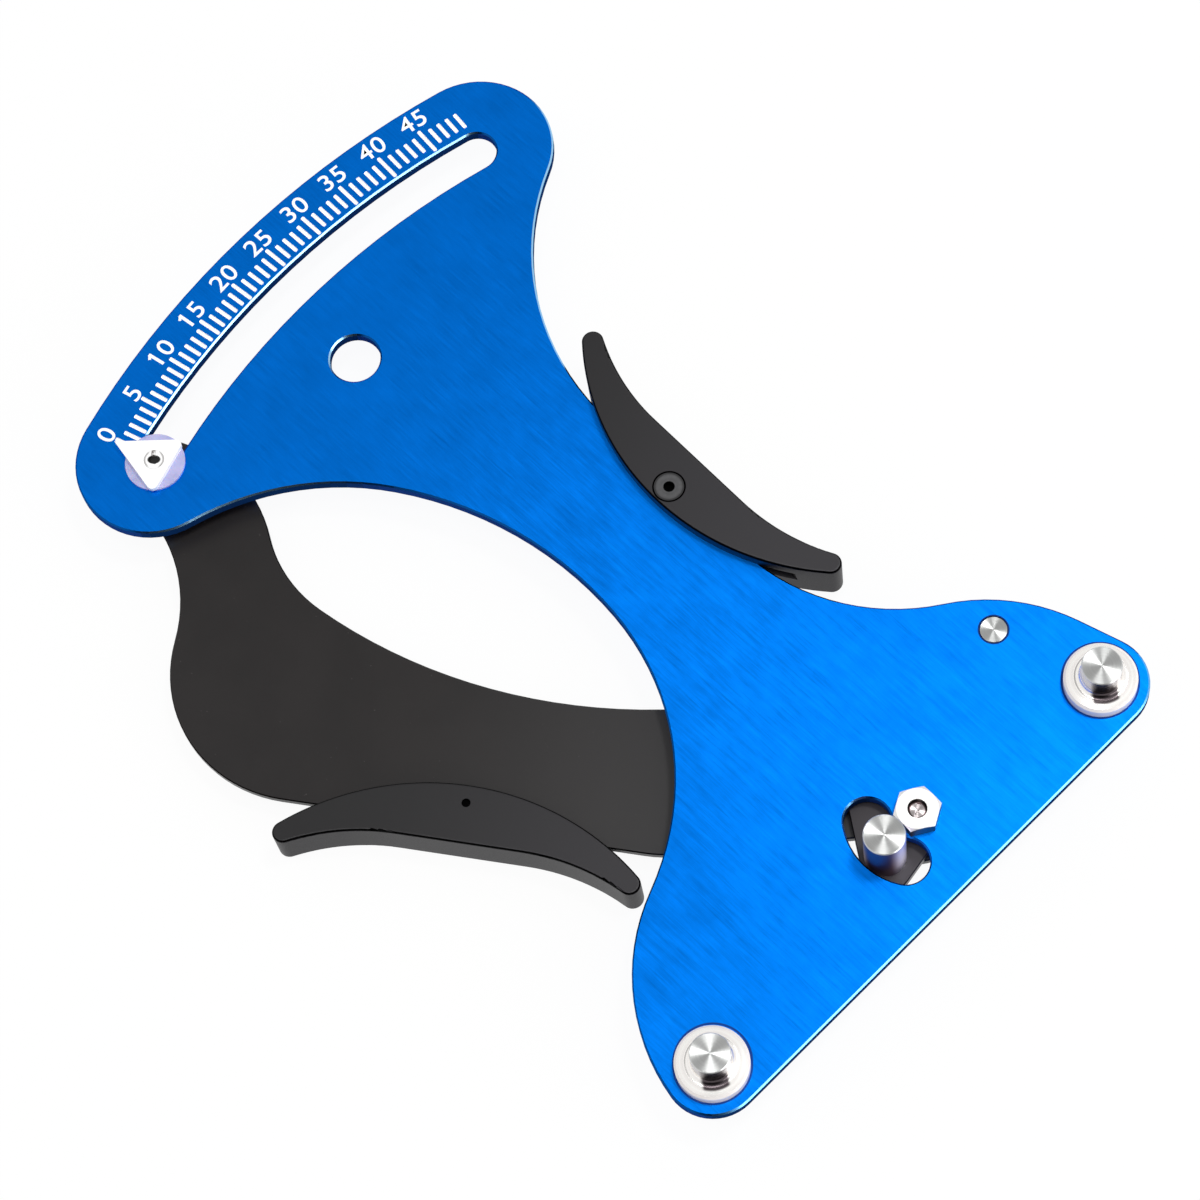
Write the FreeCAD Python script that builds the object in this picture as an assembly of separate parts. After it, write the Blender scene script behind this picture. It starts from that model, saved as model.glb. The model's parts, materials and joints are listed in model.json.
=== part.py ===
import FreeCAD, Part
import math
import os
from collections import namedtuple

from FreeCAD import Vector

# Spoke tension meter.
#
# A flat body plate carries two fixed posts. A lever behind the plate turns on the pivot bolt, carries the
# moving post through a window in the plate, and moves the pointer along the scale at the far end. A spring
# pulls the lever back to zero. Two crescent grips straddle the edges of the plate and of the lever arm.
#
# Working frame: the pivot axis is Z, the plate's front face is z = 0, +Y points to the scale, and the two
# fixed posts stand on a line along X. The finished pieces are moved so that the origin lies under the
# middle of the whole tool, on the surface that it rests on. Lengths are millimetres, angles degrees.

# ---------------------------------------------------------------- body plate
plate_t = 3.0
plate_chamfer = 0.35
corner_r = 10.2                 # rounded lower corners, round the fixed posts
post_line_y = -7.2              # fixed posts' line, below the pivot
left_post_x = -66.3
right_post_x = 46.5
left_shoulder_r = 43.6
left_shoulder_deg = 170.1       # where the left shoulder runs into its corner
left_shoulder_blend_r = 60.0
left_waist_r = 83.2
left_waist_x = -94.5
left_waist_y = 86.2
left_neck_r = 60.0
right_shoulder_r = 40.6
right_shoulder_x = 14.5
right_shoulder_y = -5.8
right_hip_r = 45.3
right_neck_r = 59.5
grip_lug_r = 12.0               # bulge of the plate's edge inside the body grip
grip_lug_x = 9.3
grip_lug_y = 88.0

scale_slot_r = 181.5            # pivot to the middle of the arc slot
scale_slot_w = 9.0
scale_edge_r = 198.9            # the plate's outer edge
scale_edge_x = 0.4              # middle of that edge's circle, right of the pivot
scale_lobe_r = 17.0             # plate round the slot's two ends
zero_deg = 107.9                # pointer at rest, from +X
full_deg = 76.0                 # pointer at the other end of the slot

window_r = 10.25                # pivot to the middle of the kidney window
window_w = 9.9
window_start_deg = 142.0
window_end_deg = 210.5

hang_hole_r = 5.5
hang_hole_x = -9.0
hang_hole_y = 158.9

# ---------------------------------------------------------------- fixed posts
post_r = 4.2
post_top_z = 9.6
post_chamfer = 0.2
flange_r = 7.65
flange_rim_h = 2.9
flange_h = 3.5
flange_edge = 0.5
flange_flare_r = 1.3
post_screw_r = 2.0
post_screw_depth = 8.0          # screw length from the plate's rear face
post_screw_head_r = 3.7         # right-angled countersink

# ---------------------------------------------------------------- pivot
pivot_bolt_r = 2.0
pivot_bush_wall = 0.95
pivot_nut_af = 8.8
pivot_nut_h = 3.6
pivot_nut_turn_deg = 28.5
pivot_bolt_recess = 1.1         # bolt end below the nut's face
pivot_slot_w = 0.8
pivot_slot_d = 0.7
pivot_slot_turn_deg = 30.0
pivot_head_r = 4.0
pivot_head_h = 2.5
front_washer_r = 4.75
front_washer_t = 0.5
rear_washer_r = 5.2
rear_washer_t = 0.5

# ---------------------------------------------------------------- lever arm
arm_t = 2.0
arm_chamfer = 0.25
arm_end_r = 8.2
arm_neck_r = 34.5
arm_bulge_r = 30.1
arm_bulge_x = -63.2
arm_bulge_y = 115.9
arm_back_r = 30.0
arm_back_x = -19.1
arm_back_y = 53.0
arm_crook_r = 6.0
arm_crook_deg = 173.6
arm_boss_r = 8.4
arm_heel_r = 16.0
arm_heel_deg = 236.0
arm_inner_r = 121.2
arm_inner_x = 66.8
arm_inner_y = 141.2
arm_elbow_r = 31.0
arm_elbow_deg = 188.2
arm_throat_r = 32.0
hook_pin_x = 12.4
hook_pin_y = -3.6
arm_tail_r = 4.5

# ---------------------------------------------------------------- post carrier and moving post
carrier_t = 2.0
carrier_chamfer = 0.2
carrier_toe_r = 5.2             # corner under the moving post
carrier_toe_x = -11.6
carrier_toe_y = -2.5
carrier_heel_r = 4.2
carrier_heel_x = 3.2
carrier_heel_y = -1.0
carrier_ear_r = 4.0
carrier_ear_x = 4.5
carrier_ear_y = 7.5
carrier_crown_r = 4.2
carrier_crown_x = -3.8
carrier_crown_y = 10.7
rivet_r = 1.0
rivet_head_r = 1.5              # countersunk flush into the arm's back
heel_rivet_offset = 2.2         # heel rivet, outwards from the heel's centre
heel_rivet_deg = -30.0
moving_post_r = 4.35
moving_post_deg = 183.8
moving_post_top_z = 10.4
moving_post_screw_depth = 6.0   # screw length from the carrier's rear face
button_head_r = 3.6             # screw behind the moving post
button_head_gap = 0.4           # to the relief in the arm
button_head_h = 2.2
button_crown_r = 2.2            # flat middle of the head
button_rim_h = 0.8

# ---------------------------------------------------------------- spring and its pins
anchor_x = 39.9
anchor_y = 16.5
anchor_pin_r = 2.85
anchor_gap = 0.2                # dark ring round the pin in the plate's front face
anchor_gap_depth = 0.6
pin_groove_r = 2.2
clip_t = 0.6
clip_r = 4.1
clip_mouth = 3.4
hook_pin_r = 1.9
hook_groove_r = 1.4
spring_z = -9.3
spring_wire = 0.9
spring_coil_r = 1.9             # to the wire's middle
spring_pitch = 1.25
spring_hook_lead = 9.5          # from the hook pin to the first coil
spring_anchor_lead = 7.0        # from the anchor pin to the last coil
groove_play = 0.15

# ---------------------------------------------------------------- grips
grip_tip_r = 2.35
grip_half_l = 36.4              # from the middle to the tips' centres
grip_belly_r = 58.0             # bulging side, towards the plate or the arm
grip_palm_r = 47.9              # hollow ends of the finger side
grip_waist = 3.2                # straight part of the finger side
grip_screw_inset = 11.9         # screw, from the line through the tips
grip_slot_floor = 6.0           # bottom of the slot that takes the plate or the arm
grip_edge_r = 0.6
body_grip_gap = 0.2             # plate's lug to the bottom of the grip's slot
body_grip_shift = -1.2          # grip's middle from the lug's middle, towards the scale
body_grip_deg = 88.6            # from its lower tip to its upper tip
body_grip_front = 3.0
body_grip_back = 5.2
arm_grip_gap = 1.95             # arm's straight back edge to the bottom of the grip's slot
arm_grip_shift = 0.7            # grip's middle from the straight edge's middle, towards the pivot
arm_grip_front = 3.8
grip_pilot_r = 0.95
grip_screw_r = 1.5
grip_screw_head_r = 3.2
grip_screw_head_h = 1.8
grip_thread_depth = 3.2         # of the screw in the far lip

# ---------------------------------------------------------------- pointer
pointer_r = 181.0               # pivot to the pointer's screw
pointer_t = 1.2
pointer_tip = 9.9               # screw axis to the sharp tip
pointer_base = 3.7              # screw axis to the straight back edge
pointer_half_w = 7.0
pointer_corner_r = 1.2
pointer_washer_r = 6.5
pointer_washer_t = 0.6
pointer_sleeve_r = 3.75
pointer_screw_r = 1.5
pointer_head_r = 2.15
pointer_head_h = 0.7
pointer_nut_af = 5.5
pointer_nut_washer_r = 3.5
pointer_nut_washer_t = 0.5
nut_bevel_deg = 30.0
nut_face_share = 0.98            # round face of a nut over its width across flats

# ---------------------------------------------------------------- shared
rest_z = -12.0                  # surface that the tool lies on
fit = 0.05                      # between pieces that are fixed together
running = 0.10                  # between a shaft and the piece that turns on it
hex_socket_af = 2.0
hex_socket_depth = 1.2
socket_share = 0.75             # deepest socket over the height of a countersunk head
thread_end_chamfer = 0.3
head_rim_h = 0.25               # straight rim of a countersunk head
pin_edge = 0.1                  # broken edge of the anchor pin's front end
cut_over = 1.0                  # how far a cutting tool runs past a face

# Round corner of an outline. The outline runs anticlockwise: r > 0 bulges out, r < 0 is a hollow.
Round = namedtuple("Round", "x y r")
TOUCH = "touch"                 # the next round starts where this one ends, tangent
LINE = "line"                   # a straight edge tangent to both rounds

GripSeat = namedtuple("GripSeat", "x y degrees screw_x screw_y")

# ---------------------------------------------------------------- derived sizes
plate_back = -plate_t
carrier_front = plate_back - front_washer_t
carrier_back = carrier_front - carrier_t
arm_front = carrier_back
arm_back = arm_front - arm_t
pivot_bush_r = pivot_bolt_r + pivot_bush_wall
lever_bore_r = pivot_bush_r + running
rear_washer_back = arm_back - rear_washer_t
post_screw_head_h = post_screw_head_r - post_screw_r
rivet_head_h = rivet_head_r - rivet_r


def polar(radius, degrees, x=0.0, y=0.0):
    """Point at a radius and an angle from a centre."""
    angle = math.radians(degrees)
    return x + radius * math.cos(angle), y + radius * math.sin(angle)


moving_post_x, moving_post_y = polar(window_r, moving_post_deg)
pointer_x, pointer_y = polar(pointer_r, zero_deg)


# ---------------------------------------------------------------- outlines of rounds and straights
def touching(first, second, link):
    """Points where an outline leaves one round and meets the next one."""
    dx, dy = second.x - first.x, second.y - first.y
    if link == LINE:
        distance = math.hypot(dx, dy)
        across = (second.r - first.r) / distance
        along = math.sqrt(1.0 - across * across)
        nx = (across * dx - along * dy) / distance
        ny = (across * dy + along * dx) / distance
    else:
        nx, ny = -dx / (first.r - second.r), -dy / (first.r - second.r)
        length = math.hypot(nx, ny)
        nx, ny = nx / length, ny / length
    return (first.x - nx * first.r, first.y - ny * first.r), (second.x - nx * second.r, second.y - ny * second.r)


def sweep(item, start, end):
    """Signed angle that a round turns through, from start to end."""
    begin = math.atan2(start[1] - item.y, start[0] - item.x)
    finish = math.atan2(end[1] - item.y, end[0] - item.x)
    turn = math.tau
    if item.r > 0:
        return (finish - begin) % turn
    return -((begin - finish) % turn)


def blend(first, second, r):
    """Round of radius r that is tangent to the two rounds beside it, on its shorter way round."""
    dx, dy = second.x - first.x, second.y - first.y
    distance = math.hypot(dx, dy)
    to_first, to_second = abs(r - first.r), abs(r - second.r)
    along = (distance ** 2 + to_first ** 2 - to_second ** 2) / (2.0 * distance)
    across = math.sqrt(to_first ** 2 - along ** 2)
    choices = []
    for side in (across, -across):
        item = Round(first.x + (along * dx - side * dy) / distance,
                     first.y + (along * dy + side * dx) / distance, r)
        start = touching(first, item, TOUCH)[1]
        end = touching(item, second, TOUCH)[0]
        choices.append((abs(sweep(item, start, end)), item))
    return min(choices)[1]


def outline(items):
    """Closed wire from rounds, each followed by TOUCH, LINE or the radius of a blend to the next one."""
    rounds, links = [], []
    pairs = list(zip(items[0::2], items[1::2]))
    for index, (item, link) in enumerate(pairs):
        following = pairs[(index + 1) % len(pairs)][0]
        rounds.append(item)
        if link in (TOUCH, LINE):
            links.append(link)
        else:
            rounds.append(blend(item, following, link))
            links += [TOUCH, TOUCH]
    count = len(rounds)
    joints = [touching(rounds[i], rounds[(i + 1) % count], links[i]) for i in range(count)]
    edges = []
    for index, item in enumerate(rounds):
        start = joints[index - 1][1]
        end, following = joints[index]
        angle = math.atan2(start[1] - item.y, start[0] - item.x) + sweep(item, start, end) / 2.0
        middle = item.x + abs(item.r) * math.cos(angle), item.y + abs(item.r) * math.sin(angle)
        edges.append(Part.Arc(Vector(*start), Vector(*middle), Vector(*end)).toShape())
        if links[index] == LINE:
            edges.append(Part.makeLine(Vector(*end), Vector(*following)))
    return Part.Wire(edges)


def slab(items, bottom, top):
    """Flat piece with the outline of the given rounds."""
    wire = outline(items)
    wire.translate(Vector(0, 0, bottom))
    return Part.Face(wire).extrude(Vector(0, 0, top - bottom))


def flat_rim(shape, height):
    """Edges of a shape that lie in the level plane at a height."""
    return [edge for edge in shape.Edges
            if abs(edge.BoundBox.ZMin - height) < 1e-6 and abs(edge.BoundBox.ZMax - height) < 1e-6]


def arc_slot(radius, width, start_deg, end_deg):
    """Rounds of a slot that follows a circle round the pivot."""
    half = width / 2.0
    first, last = polar(radius, start_deg), polar(radius, end_deg)
    return [Round(0, 0, radius + half), TOUCH, Round(last[0], last[1], half), TOUCH,
            Round(0, 0, half - radius), TOUCH, Round(first[0], first[1], half), TOUCH]


def rod(radius, bottom, top, x=0.0, y=0.0):
    """Upright cylinder between two heights."""
    return Part.makeCylinder(radius, top - bottom, Vector(x, y, bottom))


def turned(points, x, y):
    """Piece turned round an upright axis, from radius and height pairs, closed along the axis."""
    corners = [Vector(radius, 0, z) for radius, z in points]
    face = Part.Face(Part.makePolygon(corners + corners[:1]))
    shape = face.revolve(Vector(0, 0, 0), Vector(0, 0, 1), 360)
    shape.translate(Vector(x, y, 0))
    return shape


def hexagon(across_flats, bottom, top, x=0.0, y=0.0, turn=0.0):
    """Six-sided prism between two heights."""
    radius = across_flats / math.sqrt(3.0)
    corners = [Vector(*polar(radius, turn + 60.0 * k, x, y), bottom) for k in range(7)]
    return Part.Face(Part.makePolygon(corners)).extrude(Vector(0, 0, top - bottom))


def bevelled_nut(across_flats, bottom, top, hole_r, x, y, turn, bevel_bottom):
    """Hexagon nut with bevelled corners and a plain bore."""
    corner = across_flats / math.sqrt(3.0)
    inner = across_flats / 2.0 * nut_face_share
    drop = (corner - inner) * math.tan(math.radians(nut_bevel_deg))
    low = drop if bevel_bottom else 0.0
    low_r = inner if bevel_bottom else corner
    dome = turned([(0, bottom), (low_r, bottom), (corner, bottom + low), (corner, top - drop),
                   (inner, top), (0, top)], x, y)
    return hexagon(across_flats, bottom, top, x, y, turn).common(dome).cut(
        rod(hole_r, bottom - cut_over, top + cut_over, x, y))


def facing_back(shape, x, y, z):
    """Turn a fastener that faces the front over to face the back, about its own head."""
    shape.rotate(Vector(x, y, z), Vector(1, 0, 0), 180)
    return shape


def countersunk_screw(x, y, z, head_r, head_h, shank_r, length, socket_af=hex_socket_af):
    """Countersunk screw with a hexagon socket: its head is flush with z and it points down."""
    end = z - length
    body = turned([(0, z), (head_r, z), (head_r, z - head_rim_h), (shank_r, z - head_h),
                   (shank_r, end + thread_end_chamfer), (shank_r - thread_end_chamfer, end), (0, end)], x, y)
    return body.cut(hexagon(socket_af, z - min(hex_socket_depth, socket_share * head_h), z + cut_over, x, y))


def countersink(x, y, z, head_r, head_h, shank_r):
    """Cutting tool for a countersunk head that is flush with z, without the hole for the shank."""
    return turned([(0, z + cut_over), (head_r + fit, z + cut_over), (head_r + fit, z - head_rim_h),
                   (shank_r + fit, z - head_h), (0, z - head_h)], x, y)


# ---------------------------------------------------------------- places of the grips
def grip_seat(x, y, degrees, side):
    """Place of a grip: middle of its tips' line, direction of that line, and the grip's screw.

    The bulging side is left of the tip direction when side is +1, and right of it when side is -1.
    """
    screw_x, screw_y = polar(grip_screw_inset, degrees + 90.0 * side, x, y)
    return GripSeat(x, y, degrees, screw_x, screw_y)


def body_grip_seat():
    """Seat of the body grip, with the plate's lug in its slot."""
    x = grip_lug_x + grip_lug_r + body_grip_gap + grip_slot_floor
    return grip_seat(x, grip_lug_y + body_grip_shift, body_grip_deg, 1.0)


def arm_grip_seat():
    """Seat of the arm grip, along the straight back edge of the arm."""
    start, end = touching(Round(arm_bulge_x, arm_bulge_y, arm_bulge_r),
                          Round(arm_back_x, arm_back_y, arm_back_r), LINE)
    down_deg = math.degrees(math.atan2(end[1] - start[1], end[0] - start[0]))
    x, y = polar(arm_grip_shift, down_deg, (start[0] + end[0]) / 2.0, (start[1] + end[1]) / 2.0)
    x, y = polar(grip_slot_floor + arm_grip_gap, down_deg - 90.0, x, y)
    return grip_seat(x, y, down_deg + 180.0, -1.0)


# ---------------------------------------------------------------- body plate and what it carries
def plate_outline():
    """Rounds of the body plate, from the scale's outer edge anticlockwise."""
    left_post = Round(left_post_x, post_line_y, corner_r)
    right_post = Round(right_post_x, post_line_y, corner_r)
    shoulder_x, shoulder_y = polar(corner_r - left_shoulder_r, left_shoulder_deg, left_post_x, post_line_y)
    zero_x, zero_y = polar(scale_edge_r - scale_lobe_r, zero_deg, scale_edge_x)
    full_x, full_y = polar(scale_edge_r - scale_lobe_r, full_deg, scale_edge_x)
    return [
        Round(scale_edge_x, 0, scale_edge_r), TOUCH,
        Round(zero_x, zero_y, scale_lobe_r), -left_neck_r,
        Round(left_waist_x, left_waist_y, -left_waist_r), -left_shoulder_blend_r,
        Round(shoulder_x, shoulder_y, left_shoulder_r), TOUCH,
        left_post, LINE,
        right_post, LINE,
        Round(right_shoulder_x, right_shoulder_y, right_shoulder_r), -right_hip_r,
        Round(grip_lug_x, grip_lug_y, grip_lug_r), -right_neck_r,
        Round(full_x, full_y, scale_lobe_r), TOUCH,
    ]


def body_plate():
    """Flat plate with scale slot, window, hanging hole and the holes of what it carries."""
    plate = slab(plate_outline(), plate_back, 0.0)
    below, above = plate_back - cut_over, cut_over
    plate = plate.cut(slab(arc_slot(scale_slot_r, scale_slot_w, full_deg, zero_deg), below, above))
    plate = plate.cut(slab(arc_slot(window_r, window_w, window_start_deg, window_end_deg), below, above))
    plate = plate.cut(rod(hang_hole_r, below, above, hang_hole_x, hang_hole_y))
    plate = plate.makeChamfer(plate_chamfer, flat_rim(plate, 0.0) + flat_rim(plate, plate_back))
    plate = plate.cut(rod(pivot_bolt_r + fit, below, above))
    plate = plate.cut(rod(anchor_pin_r + fit, below, above, anchor_x, anchor_y))
    plate = plate.cut(rod(anchor_pin_r + anchor_gap, -anchor_gap_depth, above, anchor_x, anchor_y))
    seat = body_grip_seat()
    plate = plate.cut(rod(grip_screw_r + fit, below, above, seat.screw_x, seat.screw_y))
    for x in (left_post_x, right_post_x):
        plate = plate.cut(rod(post_screw_r + fit, below, above, x, post_line_y))
        plate = plate.cut(facing_back(
            countersink(x, post_line_y, plate_back, post_screw_head_r, post_screw_head_h, post_screw_r),
            x, post_line_y, plate_back))
    return plate


def fixed_post(x):
    """Turned post with its round foot, standing on the plate."""
    flare_top = flange_h + flange_flare_r
    foot_r = post_r + flange_flare_r
    curve = Part.Arc(Vector(foot_r, 0, flange_h),
                     Vector(foot_r - flange_flare_r * math.sin(math.radians(45)), 0,
                            flare_top - flange_flare_r * math.cos(math.radians(45))),
                     Vector(post_r, 0, flare_top)).toShape()
    before = [Vector(0, 0, 0), Vector(flange_r, 0, 0), Vector(flange_r, 0, flange_rim_h - flange_edge),
              Vector(flange_r - flange_edge, 0, flange_rim_h), Vector(foot_r, 0, flange_h)]
    after = [Vector(post_r, 0, flare_top), Vector(post_r, 0, post_top_z - post_chamfer),
             Vector(post_r - post_chamfer, 0, post_top_z), Vector(0, 0, post_top_z), Vector(0, 0, 0)]
    wire = Part.Wire(Part.makePolygon(before).Edges + [curve] + Part.makePolygon(after).Edges)
    post = Part.Face(wire).revolve(Vector(0, 0, 0), Vector(0, 0, 1), 360)
    post.translate(Vector(x, post_line_y, 0))
    return post.cut(rod(post_screw_r + fit, -cut_over, post_screw_depth + fit - plate_t, x, post_line_y))


def fixed_post_screws():
    """Countersunk screws that hold the two fixed posts from behind, flush with the plate's back."""
    screws = []
    for x in (left_post_x, right_post_x):
        screw = countersunk_screw(x, post_line_y, plate_back, post_screw_head_r, post_screw_head_h,
                                  post_screw_r, post_screw_depth)
        screws.append(facing_back(screw, x, post_line_y, plate_back))
    return Part.makeCompound(screws)


def pivot_bolt():
    """Bolt that the lever turns on: head behind, slotted end in the nut at the front."""
    end = pivot_nut_h - pivot_bolt_recess
    head_back = rear_washer_back - pivot_head_h
    edge = thread_end_chamfer
    bolt = turned([(0, head_back), (pivot_head_r - edge, head_back), (pivot_head_r, head_back + edge),
                   (pivot_head_r, rear_washer_back), (pivot_bolt_r, rear_washer_back),
                   (pivot_bolt_r, end - edge), (pivot_bolt_r - edge, end), (0, end)], 0, 0)
    slot = Part.makeBox(4 * pivot_bolt_r, pivot_slot_w, 2 * pivot_slot_d,
                        Vector(-2 * pivot_bolt_r, -pivot_slot_w / 2, end - pivot_slot_d))
    slot.rotate(Vector(0, 0, 0), Vector(0, 0, 1), pivot_slot_turn_deg)
    socket = hexagon(hex_socket_af, head_back - cut_over, head_back + hex_socket_depth)
    return bolt.cut(slot).cut(socket)


def pivot_nut():
    """Hexagon nut on the pivot bolt, on the plate's front."""
    return bevelled_nut(pivot_nut_af, 0.0, pivot_nut_h, pivot_bolt_r + fit, 0, 0, pivot_nut_turn_deg, False)


def pivot_bush():
    """Bush round the pivot bolt that the carrier and the arm turn on."""
    return rod(pivot_bush_r, arm_back, plate_back).cut(
        rod(pivot_bolt_r + fit, arm_back - cut_over, plate_back + cut_over))


def ring(outer_r, inner_r, bottom, top, x=0.0, y=0.0):
    """Flat ring between two heights."""
    return rod(outer_r, bottom, top, x, y).cut(rod(inner_r, bottom - cut_over, top + cut_over, x, y))


def front_washer():
    """Sliding washer between the plate and the post carrier."""
    return ring(front_washer_r, lever_bore_r, carrier_front + fit, plate_back)


def rear_washer():
    """Sliding washer between the arm and the pivot bolt's head."""
    return ring(rear_washer_r, pivot_bolt_r + fit, rear_washer_back, arm_back - fit)


# ---------------------------------------------------------------- lever
def arm_outline():
    """Rounds of the lever arm, from its end under the pointer anticlockwise."""
    elbow_x, elbow_y = polar(arm_inner_r - arm_elbow_r, arm_elbow_deg, arm_inner_x, arm_inner_y)
    heel_x, heel_y = polar(arm_inner_r + arm_heel_r, arm_heel_deg, arm_inner_x, arm_inner_y)
    crook_x, crook_y = polar(arm_boss_r + arm_crook_r, arm_crook_deg)
    return [
        Round(pointer_x, pointer_y, arm_end_r), -arm_neck_r,
        Round(arm_bulge_x, arm_bulge_y, arm_bulge_r), LINE,
        Round(arm_back_x, arm_back_y, arm_back_r), LINE,
        Round(crook_x, crook_y, -arm_crook_r), TOUCH,
        Round(0, 0, arm_boss_r), LINE,
        Round(hook_pin_x, hook_pin_y, arm_tail_r), LINE,
        Round(heel_x, heel_y, arm_heel_r), TOUCH,
        Round(arm_inner_x, arm_inner_y, -arm_inner_r), TOUCH,
        Round(elbow_x, elbow_y, -arm_elbow_r), arm_throat_r,
    ]


def rivet_places():
    """Centres of the two rivets that join carrier and arm."""
    return [polar(heel_rivet_offset, heel_rivet_deg, carrier_heel_x, carrier_heel_y), (carrier_ear_x, carrier_ear_y)]


def lever_arm():
    """Flat steel arm behind the plate, from the pivot to the pointer, with a relief for the post screw's head."""
    arm = slab(arm_outline(), arm_back, arm_front)
    arm = arm.makeChamfer(arm_chamfer, flat_rim(arm, arm_front) + flat_rim(arm, arm_back))
    below, above = arm_back - cut_over, arm_front + cut_over
    holes = [(0, 0, lever_bore_r), (hook_pin_x, hook_pin_y, hook_pin_r + fit),
             (moving_post_x, moving_post_y, button_head_r + button_head_gap),
             (pointer_x, pointer_y, pointer_screw_r + fit)]
    holes += [(x, y, rivet_r + fit) for x, y in rivet_places()]
    holes.append((arm_grip_seat().screw_x, arm_grip_seat().screw_y, grip_screw_r + fit))
    for x, y, radius in holes:
        arm = arm.cut(rod(radius, below, above, x, y))
    for x, y in rivet_places():
        arm = arm.cut(turned([(0, below), (rivet_head_r + fit, below), (rivet_head_r + fit, arm_back),
                              (rivet_r + fit, arm_back + rivet_head_h), (0, arm_back + rivet_head_h)], x, y))
    return arm


def post_carrier():
    """Plate between body plate and arm that brings the moving post up to the window."""
    items = [
        Round(carrier_toe_x, carrier_toe_y, carrier_toe_r), LINE,
        Round(carrier_heel_x, carrier_heel_y, carrier_heel_r), LINE,
        Round(carrier_ear_x, carrier_ear_y, carrier_ear_r), LINE,
        Round(carrier_crown_x, carrier_crown_y, carrier_crown_r), LINE,
    ]
    carrier = slab(items, carrier_back, carrier_front)
    carrier = carrier.makeChamfer(carrier_chamfer, flat_rim(carrier, carrier_front))
    below, above = carrier_back - cut_over, carrier_front + cut_over
    carrier = carrier.cut(rod(lever_bore_r, below, above))
    carrier = carrier.cut(rod(post_screw_r + fit, below, above, moving_post_x, moving_post_y))
    for x, y in rivet_places():
        carrier = carrier.cut(rod(rivet_r + fit, below, above, x, y))
    return carrier


def carrier_rivets():
    """Rivets of the carrier, flush at the front and countersunk flush behind."""
    return Part.makeCompound([
        turned([(0, arm_back), (rivet_head_r, arm_back), (rivet_r, arm_back + rivet_head_h), (rivet_r, carrier_front),
                (0, carrier_front)], x, y)
        for x, y in rivet_places()])


def moving_post():
    """Turned post on the carrier, which presses on the spoke."""
    top = moving_post_top_z
    post = turned([(0, carrier_front), (moving_post_r, carrier_front), (moving_post_r, top - post_chamfer),
                   (moving_post_r - post_chamfer, top), (0, top)], moving_post_x, moving_post_y)
    depth = moving_post_screw_depth - carrier_t
    return post.cut(rod(post_screw_r + fit, carrier_front - cut_over, carrier_front + depth + fit,
                        moving_post_x, moving_post_y))


def moving_post_screw():
    """Button screw behind the carrier, in the arm's relief, that holds the moving post."""
    x, y = moving_post_x, moving_post_y
    head_back = carrier_back - button_head_h
    end = carrier_back + moving_post_screw_depth
    screw = turned([(0, head_back), (button_crown_r, head_back), (button_head_r, carrier_back - button_rim_h),
                    (button_head_r, carrier_back), (post_screw_r, carrier_back), (post_screw_r, end - thread_end_chamfer),
                    (post_screw_r - thread_end_chamfer, end), (0, end)], x, y)
    return screw.cut(hexagon(hex_socket_af, head_back - cut_over, head_back + hex_socket_depth, x, y))


# ---------------------------------------------------------------- spring
def spring_anchor_pin():
    """Pin pressed into the plate, with grooves behind for the spring's loop and for the clip."""
    loop_half = spring_wire / 2.0 + groove_play
    clip_back = clip_bottom()
    edge = thread_end_chamfer
    return turned([(0, rest_z), (anchor_pin_r - edge, rest_z), (anchor_pin_r, rest_z + edge),
                   (anchor_pin_r, clip_back - fit), (pin_groove_r, clip_back - fit),
                   (pin_groove_r, clip_back + clip_t + fit), (anchor_pin_r, clip_back + clip_t + fit),
                   (anchor_pin_r, spring_z - loop_half), (pin_groove_r, spring_z - loop_half),
                   (pin_groove_r, spring_z + loop_half), (anchor_pin_r, spring_z + loop_half),
                   (anchor_pin_r, -pin_edge), (anchor_pin_r - pin_edge, 0), (0, 0)], anchor_x, anchor_y)


def clip_bottom():
    """Rear face of the clip on the anchor pin."""
    return (rest_z + spring_z - spring_wire / 2.0 - groove_play - clip_t) / 2.0


def spring_anchor_clip():
    """Open clip snapped into the anchor pin's rear groove."""
    bottom = clip_bottom()
    clip = ring(clip_r, pin_groove_r + fit, bottom, bottom + clip_t, anchor_x, anchor_y)
    mouth = Part.makeBox(2 * clip_r, clip_mouth, 3 * clip_t,
                         Vector(anchor_x, anchor_y - clip_mouth / 2.0, bottom - clip_t))
    return clip.cut(mouth)


def spring_hook_pin():
    """Pin in the arm's tail that the spring's other loop hangs on."""
    loop_half = spring_wire / 2.0 + groove_play
    back = spring_z - loop_half - clip_t
    return turned([(0, back), (hook_pin_r, back), (hook_pin_r, spring_z - loop_half),
                   (hook_groove_r, spring_z - loop_half), (hook_groove_r, spring_z + loop_half),
                   (hook_pin_r, spring_z + loop_half), (hook_pin_r, arm_front), (0, arm_front)],
                  hook_pin_x, hook_pin_y)


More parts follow.
